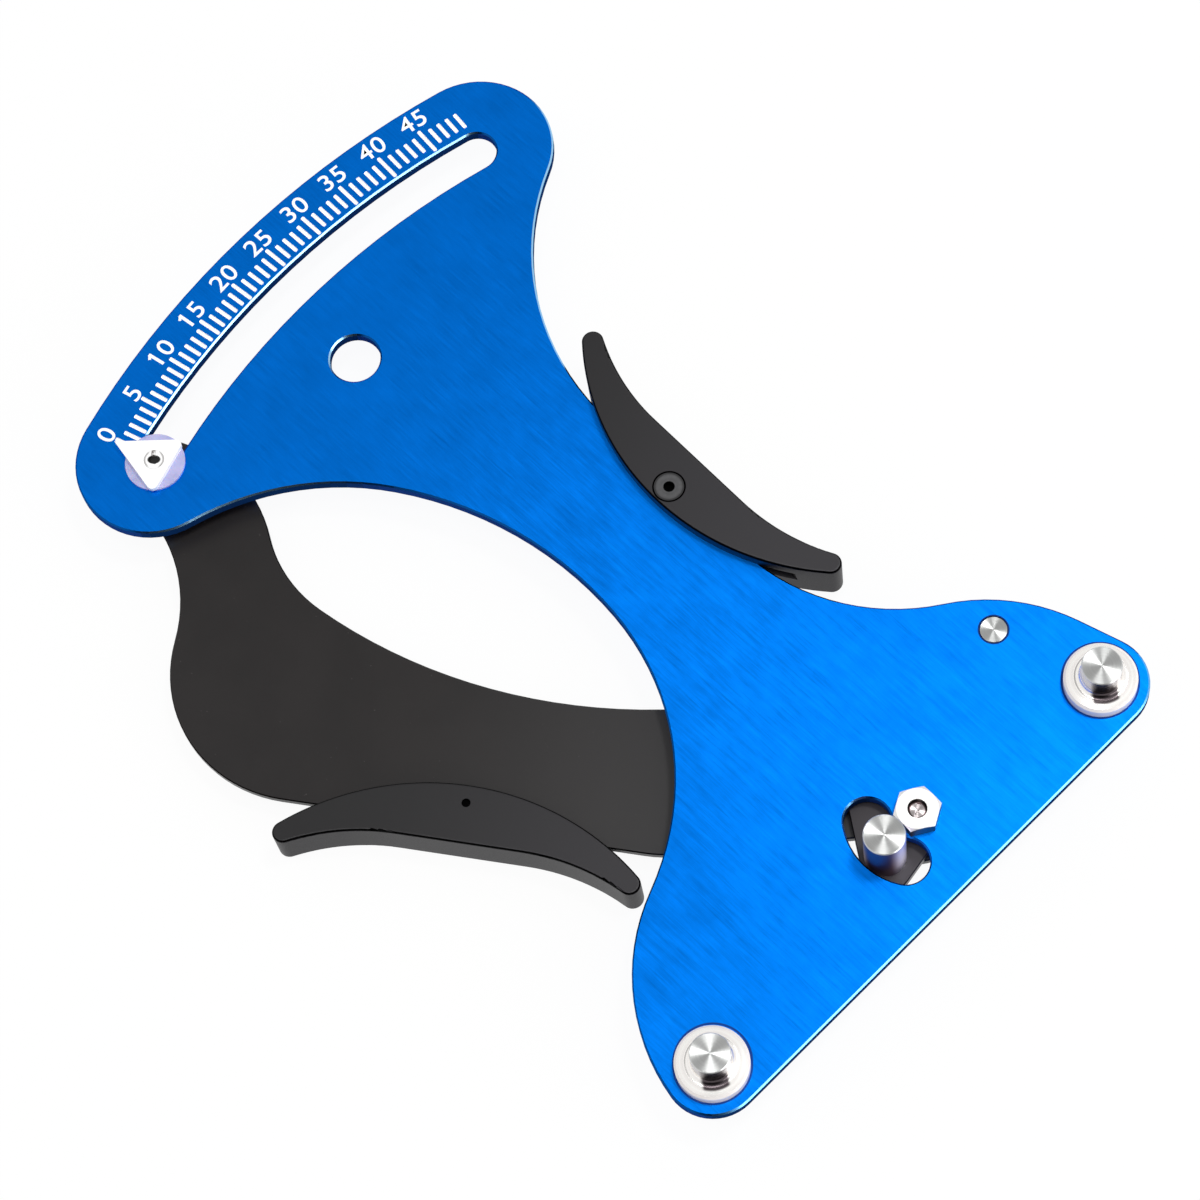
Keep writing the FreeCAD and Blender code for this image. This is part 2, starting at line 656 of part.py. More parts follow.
def tension_spring():
    """Extension spring from the arm's tail to the anchor pin: a coil with a loop at each end."""
    dx, dy = anchor_x - hook_pin_x, anchor_y - hook_pin_y
    length = math.hypot(dx, dy)
    coil_l = length - spring_hook_lead - spring_anchor_lead
    wire_r = spring_wire / 2.0
    turns = round(coil_l / spring_pitch)
    helix = Part.makeHelix(coil_l / turns, coil_l, spring_coil_r)
    profile = Part.Wire(Part.makeCircle(wire_r, Vector(spring_coil_r, 0, 0), Vector(0, 1, 0)))
    coil = Part.Wire(helix).makePipeShell([profile], True, True)
    coil.rotate(Vector(0, 0, 0), Vector(0, 1, 0), 90)
    coil.translate(Vector(spring_hook_lead, 0, 0))
    hook_loop_r = hook_groove_r + fit + wire_r
    anchor_loop_r = pin_groove_r + fit + wire_r
    hook_loop = Part.makeTorus(hook_loop_r, wire_r)
    anchor_loop = Part.makeTorus(anchor_loop_r, wire_r, Vector(length, 0, 0))
    hook_leg = Part.makeCylinder(wire_r, spring_hook_lead - hook_loop_r, Vector(hook_loop_r, 0, 0), Vector(1, 0, 0))
    anchor_leg = Part.makeCylinder(wire_r, spring_anchor_lead - anchor_loop_r,
                                   Vector(length - spring_anchor_lead, 0, 0), Vector(1, 0, 0))
    bars = [Part.makeCylinder(wire_r, spring_coil_r, Vector(place, 0, 0), Vector(0, 0, -1))
            for place in (spring_hook_lead, length - spring_anchor_lead)]
    spring = hook_loop.fuse([hook_leg, anchor_loop, anchor_leg] + bars + [coil])
    spring.rotate(Vector(0, 0, 0), Vector(0, 0, 1), math.degrees(math.atan2(dy, dx)))
    spring.translate(Vector(hook_pin_x, hook_pin_y, spring_z))
    return spring


# ---------------------------------------------------------------- grips
def grip_outline():
    """Rounds of a grip: tips on the Y axis, bulging side towards -X."""
    hollow_x = grip_palm_r - grip_waist
    hollow_y = grip_half_l - math.sqrt((grip_palm_r + grip_tip_r) ** 2 - hollow_x ** 2)
    return [
        Round(0, grip_half_l, grip_tip_r), grip_belly_r,
        Round(0, -grip_half_l, grip_tip_r), TOUCH,
        Round(hollow_x, -hollow_y, -grip_palm_r), LINE,
        Round(hollow_x, hollow_y, -grip_palm_r), TOUCH,
    ]


def grip(front, slot_t, back, head_at_front):
    """Crescent grip with the slot for a plate's edge. The slot's front face is z = 0."""
    body = slab(grip_outline(), -slot_t - back, front)
    body = body.makeFillet(grip_edge_r, flat_rim(body, front) + flat_rim(body, -slot_t - back))
    slot = Part.makeBox(grip_belly_r, 2 * grip_half_l, slot_t + 2 * fit,
                        Vector(-grip_slot_floor - grip_belly_r, -grip_half_l, -slot_t - fit))
    body = body.cut(slot)
    x = -grip_screw_inset
    middle = -slot_t / 2.0
    hole = rod(grip_screw_r + fit, middle, front + cut_over, x, 0)
    if not head_at_front:
        hole = rod(grip_screw_r + fit, -slot_t - back - cut_over, middle, x, 0)
    body = body.cut(hole).cut(rod(grip_pilot_r, -slot_t - back - cut_over, front + cut_over, x, 0))
    if head_at_front:
        far_face = -slot_t
        body = body.cut(countersink(x, 0, front, grip_screw_head_r, grip_screw_head_h, grip_screw_r))
        return body.cut(rod(grip_screw_r + fit, far_face - grip_thread_depth - fit, middle, x, 0))
    body = body.cut(facing_back(
        countersink(x, 0, -slot_t - back, grip_screw_head_r, grip_screw_head_h, grip_screw_r),
        x, 0, -slot_t - back))
    return body.cut(rod(grip_screw_r + fit, middle, grip_thread_depth + fit, x, 0))


def place_grip(shape, seat, front_face):
    """Turn a grip from its own axes to its seat, with its slot's front face at a height."""
    shape.rotate(Vector(0, 0, 0), Vector(0, 0, 1), seat.degrees - 90.0)
    shape.translate(Vector(seat.x, seat.y, front_face))
    return shape


def body_grip():
    """Grip on the right edge of the plate, held by a screw from the front."""
    return place_grip(grip(body_grip_front, plate_t, body_grip_back, True), body_grip_seat(), 0.0)


def body_grip_screw():
    """Countersunk screw through the body grip and the plate."""
    seat = body_grip_seat()
    length = body_grip_front + plate_t + grip_thread_depth
    return countersunk_screw(seat.screw_x, seat.screw_y, body_grip_front, grip_screw_head_r, grip_screw_head_h,
                             grip_screw_r, length)


def arm_grip():
    """Grip on the outer edge of the arm, held by a screw from behind."""
    back = arm_back - rest_z
    shape = grip(arm_grip_front, arm_t, back, False)
    shape.rotate(Vector(0, 0, 0), Vector(0, 0, 1), 180)
    return place_grip(shape, arm_grip_seat(), arm_front)


def arm_grip_screw():
    """Countersunk screw through the arm grip and the arm, from behind."""
    x, y = arm_grip_seat().screw_x, arm_grip_seat().screw_y
    length = (arm_back - rest_z) + arm_t + grip_thread_depth
    screw = countersunk_screw(x, y, rest_z, grip_screw_head_r, grip_screw_head_h, grip_screw_r, length)
    return facing_back(screw, x, y, rest_z)


# ---------------------------------------------------------------- pointer
def pointer():
    """Triangular pointer: sharp tip outwards, the two rear corners rounded."""
    bottom = pointer_washer_t
    corner = Vector(pointer_tip, 0, bottom)
    rise = math.atan2(pointer_half_w, pointer_tip + pointer_base)
    inset = pointer_corner_r
    back_x = inset - pointer_base
    side_y = pointer_half_w - inset * (1.0 + math.sin(rise)) / math.cos(rise)
    upper = Vector(back_x + inset * math.sin(rise), side_y + inset * math.cos(rise), bottom)
    halfway = (math.pi / 2.0 - rise + math.pi) / 2.0
    middle = Vector(back_x + inset * math.cos(halfway), side_y + inset * math.sin(halfway), bottom)
    back = Vector(-pointer_base, side_y, bottom)

    def mirrored(point):
        return Vector(point.x, -point.y, point.z)

    edges = [Part.makeLine(corner, upper), Part.Arc(upper, middle, back).toShape(),
             Part.makeLine(back, mirrored(back)),
             Part.Arc(mirrored(back), mirrored(middle), mirrored(upper)).toShape(),
             Part.makeLine(mirrored(upper), corner)]
    shape = Part.Face(Part.Wire(edges)).extrude(Vector(0, 0, pointer_t))
    top = bottom + pointer_t
    shape = shape.cut(rod(pointer_screw_r + fit, bottom - cut_over, top + cut_over))
    shape = shape.cut(countersink(0, 0, top, pointer_head_r, pointer_head_h, pointer_screw_r))
    shape.rotate(Vector(0, 0, 0), Vector(0, 0, 1), zero_deg)
    shape.translate(Vector(pointer_x, pointer_y, 0))
    return shape


def pointer_washer():
    """Clear sliding washer between pointer and plate."""
    return ring(pointer_washer_r, pointer_screw_r + fit, fit, pointer_washer_t, pointer_x, pointer_y)


def pointer_sleeve():
    """Sleeve that runs in the arc slot and keeps the pointer at its height."""
    return ring(pointer_sleeve_r, pointer_screw_r + fit, arm_front, fit, pointer_x, pointer_y)


def pointer_screw():
    """Countersunk screw through pointer, washer, sleeve and arm."""
    top = pointer_washer_t + pointer_t
    length = top - rest_z - thread_end_chamfer
    return countersunk_screw(pointer_x, pointer_y, top, pointer_head_r, pointer_head_h, pointer_screw_r, length)


def pointer_nut_washer():
    """Washer under the pointer's nut, behind the arm."""
    return ring(pointer_nut_washer_r, pointer_screw_r + fit, arm_back - pointer_nut_washer_t, arm_back,
                pointer_x, pointer_y)


def pointer_nut():
    """Lock nut on the pointer screw, which the tool also rests on."""
    return bevelled_nut(pointer_nut_af, rest_z, arm_back - pointer_nut_washer_t, pointer_screw_r + fit,
                        pointer_x, pointer_y, zero_deg, True)


# ---------------------------------------------------------------- whole tool
def build():
    """Every piece of the tool by name, in the working frame."""
    return {
        "body_plate": body_plate(),
        "fixed_post_left": fixed_post(left_post_x),
        "fixed_post_right": fixed_post(right_post_x),
        "fixed_post_screws": fixed_post_screws(),
        "pivot_bolt": pivot_bolt(),
        "pivot_nut": pivot_nut(),
        "pivot_bush": pivot_bush(),
        "front_washer": front_washer(),
        "rear_washer": rear_washer(),
        "spring_anchor_pin": spring_anchor_pin(),
        "spring_anchor_clip": spring_anchor_clip(),
        "tension_spring": tension_spring(),
        "body_grip": body_grip(),
        "body_grip_screw": body_grip_screw(),
        "lever_arm": lever_arm(),
        "post_carrier": post_carrier(),
        "carrier_rivets": carrier_rivets(),
        "moving_post": moving_post(),
        "moving_post_screw": moving_post_screw(),
        "spring_hook_pin": spring_hook_pin(),
        "arm_grip": arm_grip(),
        "arm_grip_screw": arm_grip_screw(),
        "pointer": pointer(),
        "pointer_washer": pointer_washer(),
        "pointer_sleeve": pointer_sleeve(),
        "pointer_screw": pointer_screw(),
        "pointer_nut_washer": pointer_nut_washer(),
        "pointer_nut": pointer_nut(),
    }


def export(pieces):
    """Move the pieces to the tool's own origin and write one STEP file for each."""
    os.makedirs("parts", exist_ok=True)
    box = Part.makeCompound(list(pieces.values())).optimalBoundingBox(False, False)
    offset = Vector(-(box.XMin + box.XMax) / 2.0, -(box.YMin + box.YMax) / 2.0, -rest_z)
    print("pivot axis at", round(offset.x, 4), round(offset.y, 4), "plate front at", round(offset.z, 4))
    print("size", round(box.XLength, 3), round(box.YLength, 3), round(box.ZLength, 3))
    for name, shape in pieces.items():
        shape.translate(offset)
        shape.exportStep(os.path.join("parts", name + ".step"))


export(build())
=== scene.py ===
"""Looks of the spoke tension meter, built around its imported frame.

The frame gives every node its place: +Z points out of the plate's front face, and +Y from the posts to the
scale. Lengths are metres and angles are degrees, unless a name says otherwise.
"""

import json
import logging
import math
from abc import ABC, abstractmethod
from collections.abc import Callable, Iterable, Mapping
from dataclasses import dataclass, field
from enum import Enum
from typing import Any

import bpy
from mathutils import Matrix, Vector

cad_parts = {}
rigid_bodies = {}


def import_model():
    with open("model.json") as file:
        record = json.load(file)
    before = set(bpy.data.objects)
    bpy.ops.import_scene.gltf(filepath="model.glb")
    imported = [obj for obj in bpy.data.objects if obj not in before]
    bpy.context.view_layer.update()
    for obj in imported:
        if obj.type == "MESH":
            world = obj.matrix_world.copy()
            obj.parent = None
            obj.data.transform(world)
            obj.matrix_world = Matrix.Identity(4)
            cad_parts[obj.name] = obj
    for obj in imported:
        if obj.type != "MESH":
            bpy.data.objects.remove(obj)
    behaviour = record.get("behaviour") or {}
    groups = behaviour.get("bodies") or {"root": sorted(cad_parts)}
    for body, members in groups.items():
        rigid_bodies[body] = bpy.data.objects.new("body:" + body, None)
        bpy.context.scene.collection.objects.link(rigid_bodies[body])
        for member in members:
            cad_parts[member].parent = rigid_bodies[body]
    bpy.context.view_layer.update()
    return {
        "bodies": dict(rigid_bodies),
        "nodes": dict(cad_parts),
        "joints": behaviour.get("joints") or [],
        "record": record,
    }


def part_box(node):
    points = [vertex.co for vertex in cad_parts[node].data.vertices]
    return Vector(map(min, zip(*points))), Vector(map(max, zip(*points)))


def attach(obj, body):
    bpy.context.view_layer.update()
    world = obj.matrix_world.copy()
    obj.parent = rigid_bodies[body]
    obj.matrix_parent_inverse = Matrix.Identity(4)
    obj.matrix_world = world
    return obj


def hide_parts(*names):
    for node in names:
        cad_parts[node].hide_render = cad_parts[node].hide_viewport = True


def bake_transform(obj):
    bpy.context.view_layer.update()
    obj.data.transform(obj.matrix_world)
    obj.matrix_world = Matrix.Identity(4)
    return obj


LOG = logging.getLogger("tension_meter")
MM = 0.001
FAR = 1.0                                # beyond any piece of the tool

Colour = tuple[float, float, float]
Span = tuple[float, float]               # where a change starts and where it ends


# ---------------------------------------------------------------- shader maths
def operator(operation: str, number_first: bool = False) -> Callable[["Value", "Value | float"], "Value"]:
    """Make an operator for values.

    Args:
        operation: Name of its Math node's operation.
        number_first: Whether the value is the second term, after a number.

    Returns:
        The operator, which adds that node and gives its result.
    """
    def act(value: "Value", other: "Value | float") -> "Value":
        """Put the two terms in order."""
        return value.maths(operation, *((other, value) if number_first else (value, other)))
    return act


class Value:
    """Output of a shader node, with Python arithmetic that adds Math nodes."""

    def __init__(self, graph: "Graph", socket: bpy.types.NodeSocket) -> None:
        """Keep the socket and the graph that it belongs to."""
        self.graph = graph
        self.socket = socket

    def maths(self, operation: str, *terms: "Value | float") -> "Value":
        """Add one Math node.

        Args:
            operation: Name of the Math node's operation.
            terms: Its inputs in order, as values or numbers.

        Returns:
            The node's result.
        """
        return self.graph.node("ShaderNodeMath", {"operation": operation}, dict(enumerate(terms)))

    __add__ = operator("ADD")
    __radd__ = operator("ADD", number_first=True)
    __sub__ = operator("SUBTRACT")
    __rsub__ = operator("SUBTRACT", number_first=True)
    __mul__ = operator("MULTIPLY")
    __rmul__ = operator("MULTIPLY", number_first=True)
    __truediv__ = operator("DIVIDE")
    __rtruediv__ = operator("DIVIDE", number_first=True)
    __gt__ = operator("GREATER_THAN")  # one where it holds and zero elsewhere, as the next
    __lt__ = operator("LESS_THAN")

    def root(self) -> "Value":
        """Square root."""
        return self.maths("SQRT", self)

    def size(self) -> "Value":
        """This value without its sign."""
        return self.maths("ABSOLUTE", self)

    def swing(self, reach: float) -> "Value":
        """Swing about zero of a value that runs from zero to one, from end to end over the reach."""
        return (self - 0.5) * reach

    def ramp(self, low: float, high: float) -> "Value":
        """Smooth step from zero at low to one at high."""
        return self.graph.node("ShaderNodeMapRange", {"interpolation_type": "SMOOTHSTEP"},
                               {"Value": self, "From Min": low, "From Max": high})

    def fade(self, low: float, high: float) -> "Value":
        """Smooth step from one at low to zero at high."""
        return 1.0 - self.ramp(low, high)

    def outputs(self, *names: str) -> list["Value"]:
        """Named outputs of the node that this value comes from."""
        return [Value(self.graph, self.socket.node.outputs[name]) for name in names]


class Graph:
    """Node tree whose nodes are added as values."""

    def __init__(self, tree: bpy.types.NodeTree) -> None:
        """Work in that tree."""
        self.tree = tree

    def node(self, kind: str, settings: Mapping[str, Any] | None = None,
             sockets: Mapping[str | int, Any] | None = None, out: str | int = 0) -> Value:
        """Add a node of any type.

        Args:
            kind: Type of the node.
            settings: Its settings, which are set first.
            sockets: Values, numbers or colours of its inputs, by name or place.
            out: Output that is wanted.

        Returns:
            That output.
        """
        node = self.tree.nodes.new(kind)
        for name, setting in (settings or {}).items():
            setattr(node, name, setting)
        for name, value in (sockets or {}).items():
            if isinstance(value, Value):
                self.tree.links.new(value.socket, node.inputs[name])
            else:
                node.inputs[name].default_value = value
        return Value(self, node.outputs[out])

    def dot(self, vector: Value, direction: Iterable[float]) -> Value:
        """How far a vector of length one points along a direction: one when it lies on it."""
        return self.node("ShaderNodeVectorMath", {"operation": "DOT_PRODUCT"},
                         {0: vector, 1: tuple(direction)}, out="Value")


class Shader(Graph):
    """Node tree of one material."""

    def __init__(self, name: str) -> None:
        """Start an empty material.

        Args:
            name: Its name.
        """
        self.material = bpy.data.materials.new(name)
        self.material.use_nodes = True
        super().__init__(self.material.node_tree)
        self.tree.nodes.clear()
        self.output = self.tree.nodes.new("ShaderNodeOutputMaterial")

    def place(self, centre: Iterable[float] = (0.0, 0.0, 0.0), turn_deg: float = 0.0,
              grain: Iterable[float] = (1.0, 1.0, 1.0)) -> Value:
        """Object coordinates about a centre.

        Args:
            centre: Point that becomes the origin.
            turn_deg: Turn of the pattern about Z.
            grain: Length of one unit of the pattern along each axis.

        Returns:
            The coordinates as a vector.
        """
        coordinates = self.node("ShaderNodeTexCoord", out="Object")
        return self.node("ShaderNodeMapping", {"vector_type": "TEXTURE"},
                         {"Vector": coordinates, "Location": tuple(centre), "Scale": tuple(grain),
                          "Rotation": (0.0, 0.0, math.radians(turn_deg))})

    def axes(self, vector: Value) -> list[Value]:
        """X, Y and Z of a vector."""
        return self.node("ShaderNodeSeparateXYZ", {}, {0: vector}).outputs("X", "Y", "Z")

    def faces_to(self, direction: Iterable[float]) -> Value:
        """How far a face turns to a direction: one when square to it, zero when it stands along it."""
        return self.dot(self.node("ShaderNodeNewGeometry", out="True Normal"), direction)

    def facing(self) -> Value:
        """How flat a face lies: one on the front and back, zero on a wall, in between on a bevel."""
        return self.faces_to((0.0, 0.0, 1.0)).size()

    def about(self, axis: Vector) -> tuple[Value, Value, Value, Value]:
        """X, Y and Z from a point on an upright axis, and the distance from that axis."""
        x, y, z = self.axes(self.place(axis))
        return x, y, z, (x * x + y * y).root()

    def ring(self, axis: Vector, radius: float, half_width: float, soft: Span = (0.6, 1.2)) -> Value:
        """Mask of a thin ring round an upright axis.

        Args:
            axis: Point on the axis.
            radius: Middle radius of the ring.
            half_width: Half of the ring's width.
            soft: Start and end of the fade at its edges, over the half width.

        Returns:
            One on the ring and zero elsewhere.
        """
        off = (self.about(axis)[3] - radius).size()
        return off.fade(*(share * half_width for share in soft))

    def towards_posts(self, lean: float = 0.5, paling: Span = (-31 * MM, 54 * MM)) -> Value:
        """How near a point of the black pieces is to the posts, where a painted sheen makes them paler.

        Args:
            lean: How much the way towards the posts leans to +X.
            paling: Stretch of that way, from the frame's origin, over which the painted sheen grows.

        Returns:
            Zero before that stretch and one after it.
        """
        x, y, _ = self.axes(self.place())
        return (x * lean - y).ramp(*paling)

    def noise(self, vector: Value, scale: float = 1.0, detail: float = 2.0, roughness: float = 0.5) -> Value:
        """Noise from zero to one."""
        return self.node("ShaderNodeTexNoise", {}, {"Vector": vector, "Scale": scale, "Detail": detail,
                                                    "Roughness": roughness})

    def grooves(self, way: Value, pitch: float) -> Value:
        """Turned grooves of a pitch along a way, from zero to one."""
        return self.node("ShaderNodeTexNoise", {"noise_dimensions": "1D"},
                         {"W": way / pitch, "Scale": 1.0, "Detail": 2.0})

    def tint(self, factor: Value | float, first: "Value | Colour", second: "Value | Colour",
             blend: str = "MIX") -> Value:
        """Mix of two colours.

        Args:
            factor: Share of the second colour.
            first: Colour at zero.
            second: Colour at one.
            blend: How the second colour acts on the first.

        Returns:
            The mixed colour.
        """
        first, second = (c if isinstance(c, Value) else (*c, 1.0) for c in (first, second))
        return self.node("ShaderNodeMix", {"data_type": "RGBA", "blend_type": blend, "clamp_factor": True},
                         {0: factor, 6: first, 7: second}, out=2)

    def shaded(self, colour: "Value | Colour", shade: Value) -> Value:
        """Colour with its brightness multiplied by a shade."""
        grey = self.node("ShaderNodeCombineColor", {}, {0: shade, 1: shade, 2: shade})
        return self.tint(1.0, colour, grey, "MULTIPLY")

    def bump(self, height: Value, depth: float, strength: float) -> Value:
        """Normal of a relief whose height runs from zero to one over a depth in metres."""
        return self.node("ShaderNodeBump", {}, {"Height": height, "Distance": depth, "Strength": strength})

    def principled(self, **sockets: Any) -> Value:
        """Add a Principled surface.

        Args:
            sockets: Its inputs, with underscores for the spaces in their names.

        Returns:
            The surface.
        """
        inputs = {}
        for name, value in sockets.items():
            is_colour = isinstance(value, tuple) and len(value) == 3
            inputs[name.replace("_", " ")] = (*value, 1.0) if is_colour else value
        return self.node("ShaderNodeBsdfPrincipled", {}, inputs)

    def finished(self, surface: Value) -> bpy.types.Material:
        """Put a surface on the material and return it."""
        self.tree.links.new(surface.socket, self.output.inputs["Surface"])
        return self.material

    def surface(self, **sockets: Any) -> bpy.types.Material:
        """Finish the material with one Principled surface, whose inputs are given as for principled."""
        return self.finished(self.principled(**sockets))


# ---------------------------------------------------------------- finishes
@dataclass(frozen=True)
class BrushedAnodising:
    """Satin anodised aluminium brushed along the plate, with painted highlight and shade on bevels, walls
    and face.
    """

    face: Colour = (0.001, 0.205, 0.86)
    # painted shade: the face is darker towards the scale
    face_at_scale: Colour = (0.001, 0.183, 0.76)
    # painted highlight on the bevels that face the highlight side, paler towards the scale
    bevel: Colour = (0.16, 0.46, 0.85)
    bevel_at_scale: Colour = (0.34, 0.64, 0.92)
    # painted shade on the bevels that face away
    dull_bevel: Colour = (0.004, 0.080, 0.30)
    # painted shade on the walls, also used for the painted shadow lines round the feet
    wall: Colour = (0.010, 0.045, 0.22)
    bright_wall: Colour = (0.004, 0.025, 0.10)  # painted shade of a wall under a highlighted bevel
    edge_tint: Colour = (0.10, 0.30, 0.70)
    gap: float = 0.25 * MM           # half width of the painted shadow line round each foot
    bright_side: tuple[float, float, float] = (0.35, -0.94, 0.0)  # bevels that face this side get a painted highlight
    brightening: Span = (0.20, 0.45)  # by how far a bevel turns to that side
    flattening: Span = (0.86, 0.92)  # from a bevel to a face, by how flat it lies
    levelling: Span = (0.30, 0.40)   # from a wall to a bevel
    deepening: Span = (75 * MM, 160 * MM)  # painted shade: the face darkens above the pivot, on the way to the scale
    calmer: float = 0.72             # how much of the grain is gone at the scale
    paling: Span = (-60 * MM, 5 * MM)  # painted light: the face gets lighter from left to right
    left_shade: float = 0.84
    gain: float = 0.28               # what the painted light adds to that shade
    hairline: tuple[float, float, float] = (0.28 * MM, 8 * MM, 1 * MM)
    streak: tuple[float, float, float] = (1.0 * MM, 24 * MM, 4 * MM)
    clouds_per_metre: float = 90.0
    contrast: tuple[float, float, float] = (0.58, 0.40, 0.44)  # of hairlines, streaks and clouds
    polish: float = 0.23             # roughness of the edges
    brushing: float = 0.15           # what brushing adds to it on the faces
    rough_swing: tuple[float, float] = (0.14, 0.06)  # by hairlines and clouds
    relief: tuple[float, float] = (0.010 * MM, 0.9)  # depth and strength
    streak_relief: float = 0.5       # height of a streak over that of a hairline

    def edge(self, shader: Shader, far: Value, level: Value) -> Value:
        """Colour of walls and bevels, with their painted highlight and shade.

        Args:
            shader: Shader that it belongs to.
            far: How near a point is to the scale.
            level: How much of a bevel, rather than a wall, it is.

        Returns:
            The colour.
        """
        bright = shader.faces_to(self.bright_side).ramp(*self.brightening)
        wall = shader.tint(bright, self.wall, self.bright_wall)
        bevel = shader.tint(bright, self.dull_bevel, shader.tint(far, self.bevel, self.bevel_at_scale))
        return shader.tint(level, wall, bevel)

    def material(self, pivot: Vector, feet: Iterable[tuple[Vector, float]]) -> bpy.types.Material:
        """Make the material.

        Args:
            pivot: Axis of the lever, where the tone starts from.
            feet: Centre and radius of each painted shadow line that rings a round piece in the plate.

        Returns:
            The plate's material.
        """
        shader = Shader("blue_anodised_brushed")
        across, along, _ = shader.axes(shader.place(pivot))
        hairs = shader.noise(shader.place(pivot, grain=self.hairline), detail=3.0, roughness=0.65)
        streaks = shader.noise(shader.place(pivot, grain=self.streak))
        clouds = shader.noise(shader.place(pivot), scale=self.clouds_per_metre, detail=5.0, roughness=0.65)
        in_hairs, in_streaks, in_clouds = self.contrast
        grain = hairs.swing(in_hairs) + streaks.swing(in_streaks) + clouds.swing(in_clouds)
        # painted shade, growing towards the scale
        far = along.ramp(*self.deepening)
        # painted light, growing from left to right; it fades out towards the scale
        even = across.ramp(*self.paling) * self.gain + self.left_shade
        shade = (grain * (1.0 - far * self.calmer) + 1.0) * (even + (1.0 - even) * far)
        tone = shader.shaded(shader.tint(far, self.face, self.face_at_scale), shade)
        # painted shadow lines round the feet
        for centre, radius in feet:
            tone = shader.tint(shader.ring(centre, radius, self.gap), tone, self.wall)
        up = shader.facing()
        front, level = up.ramp(*self.flattening), up.ramp(*self.levelling)
        by_hairs, by_clouds = self.rough_swing
        brushed = self.brushing + hairs.swing(by_hairs) + clouds.swing(by_clouds)
        relief = shader.bump(hairs + streaks * self.streak_relief + clouds, *self.relief)
        return shader.surface(Base_Color=shader.tint(front, self.edge(shader, far, level), tone),
                              Metallic=level, Roughness=front * brushed + self.polish, Normal=relief,
                              Specular_Tint=self.edge_tint, IOR=1.0)


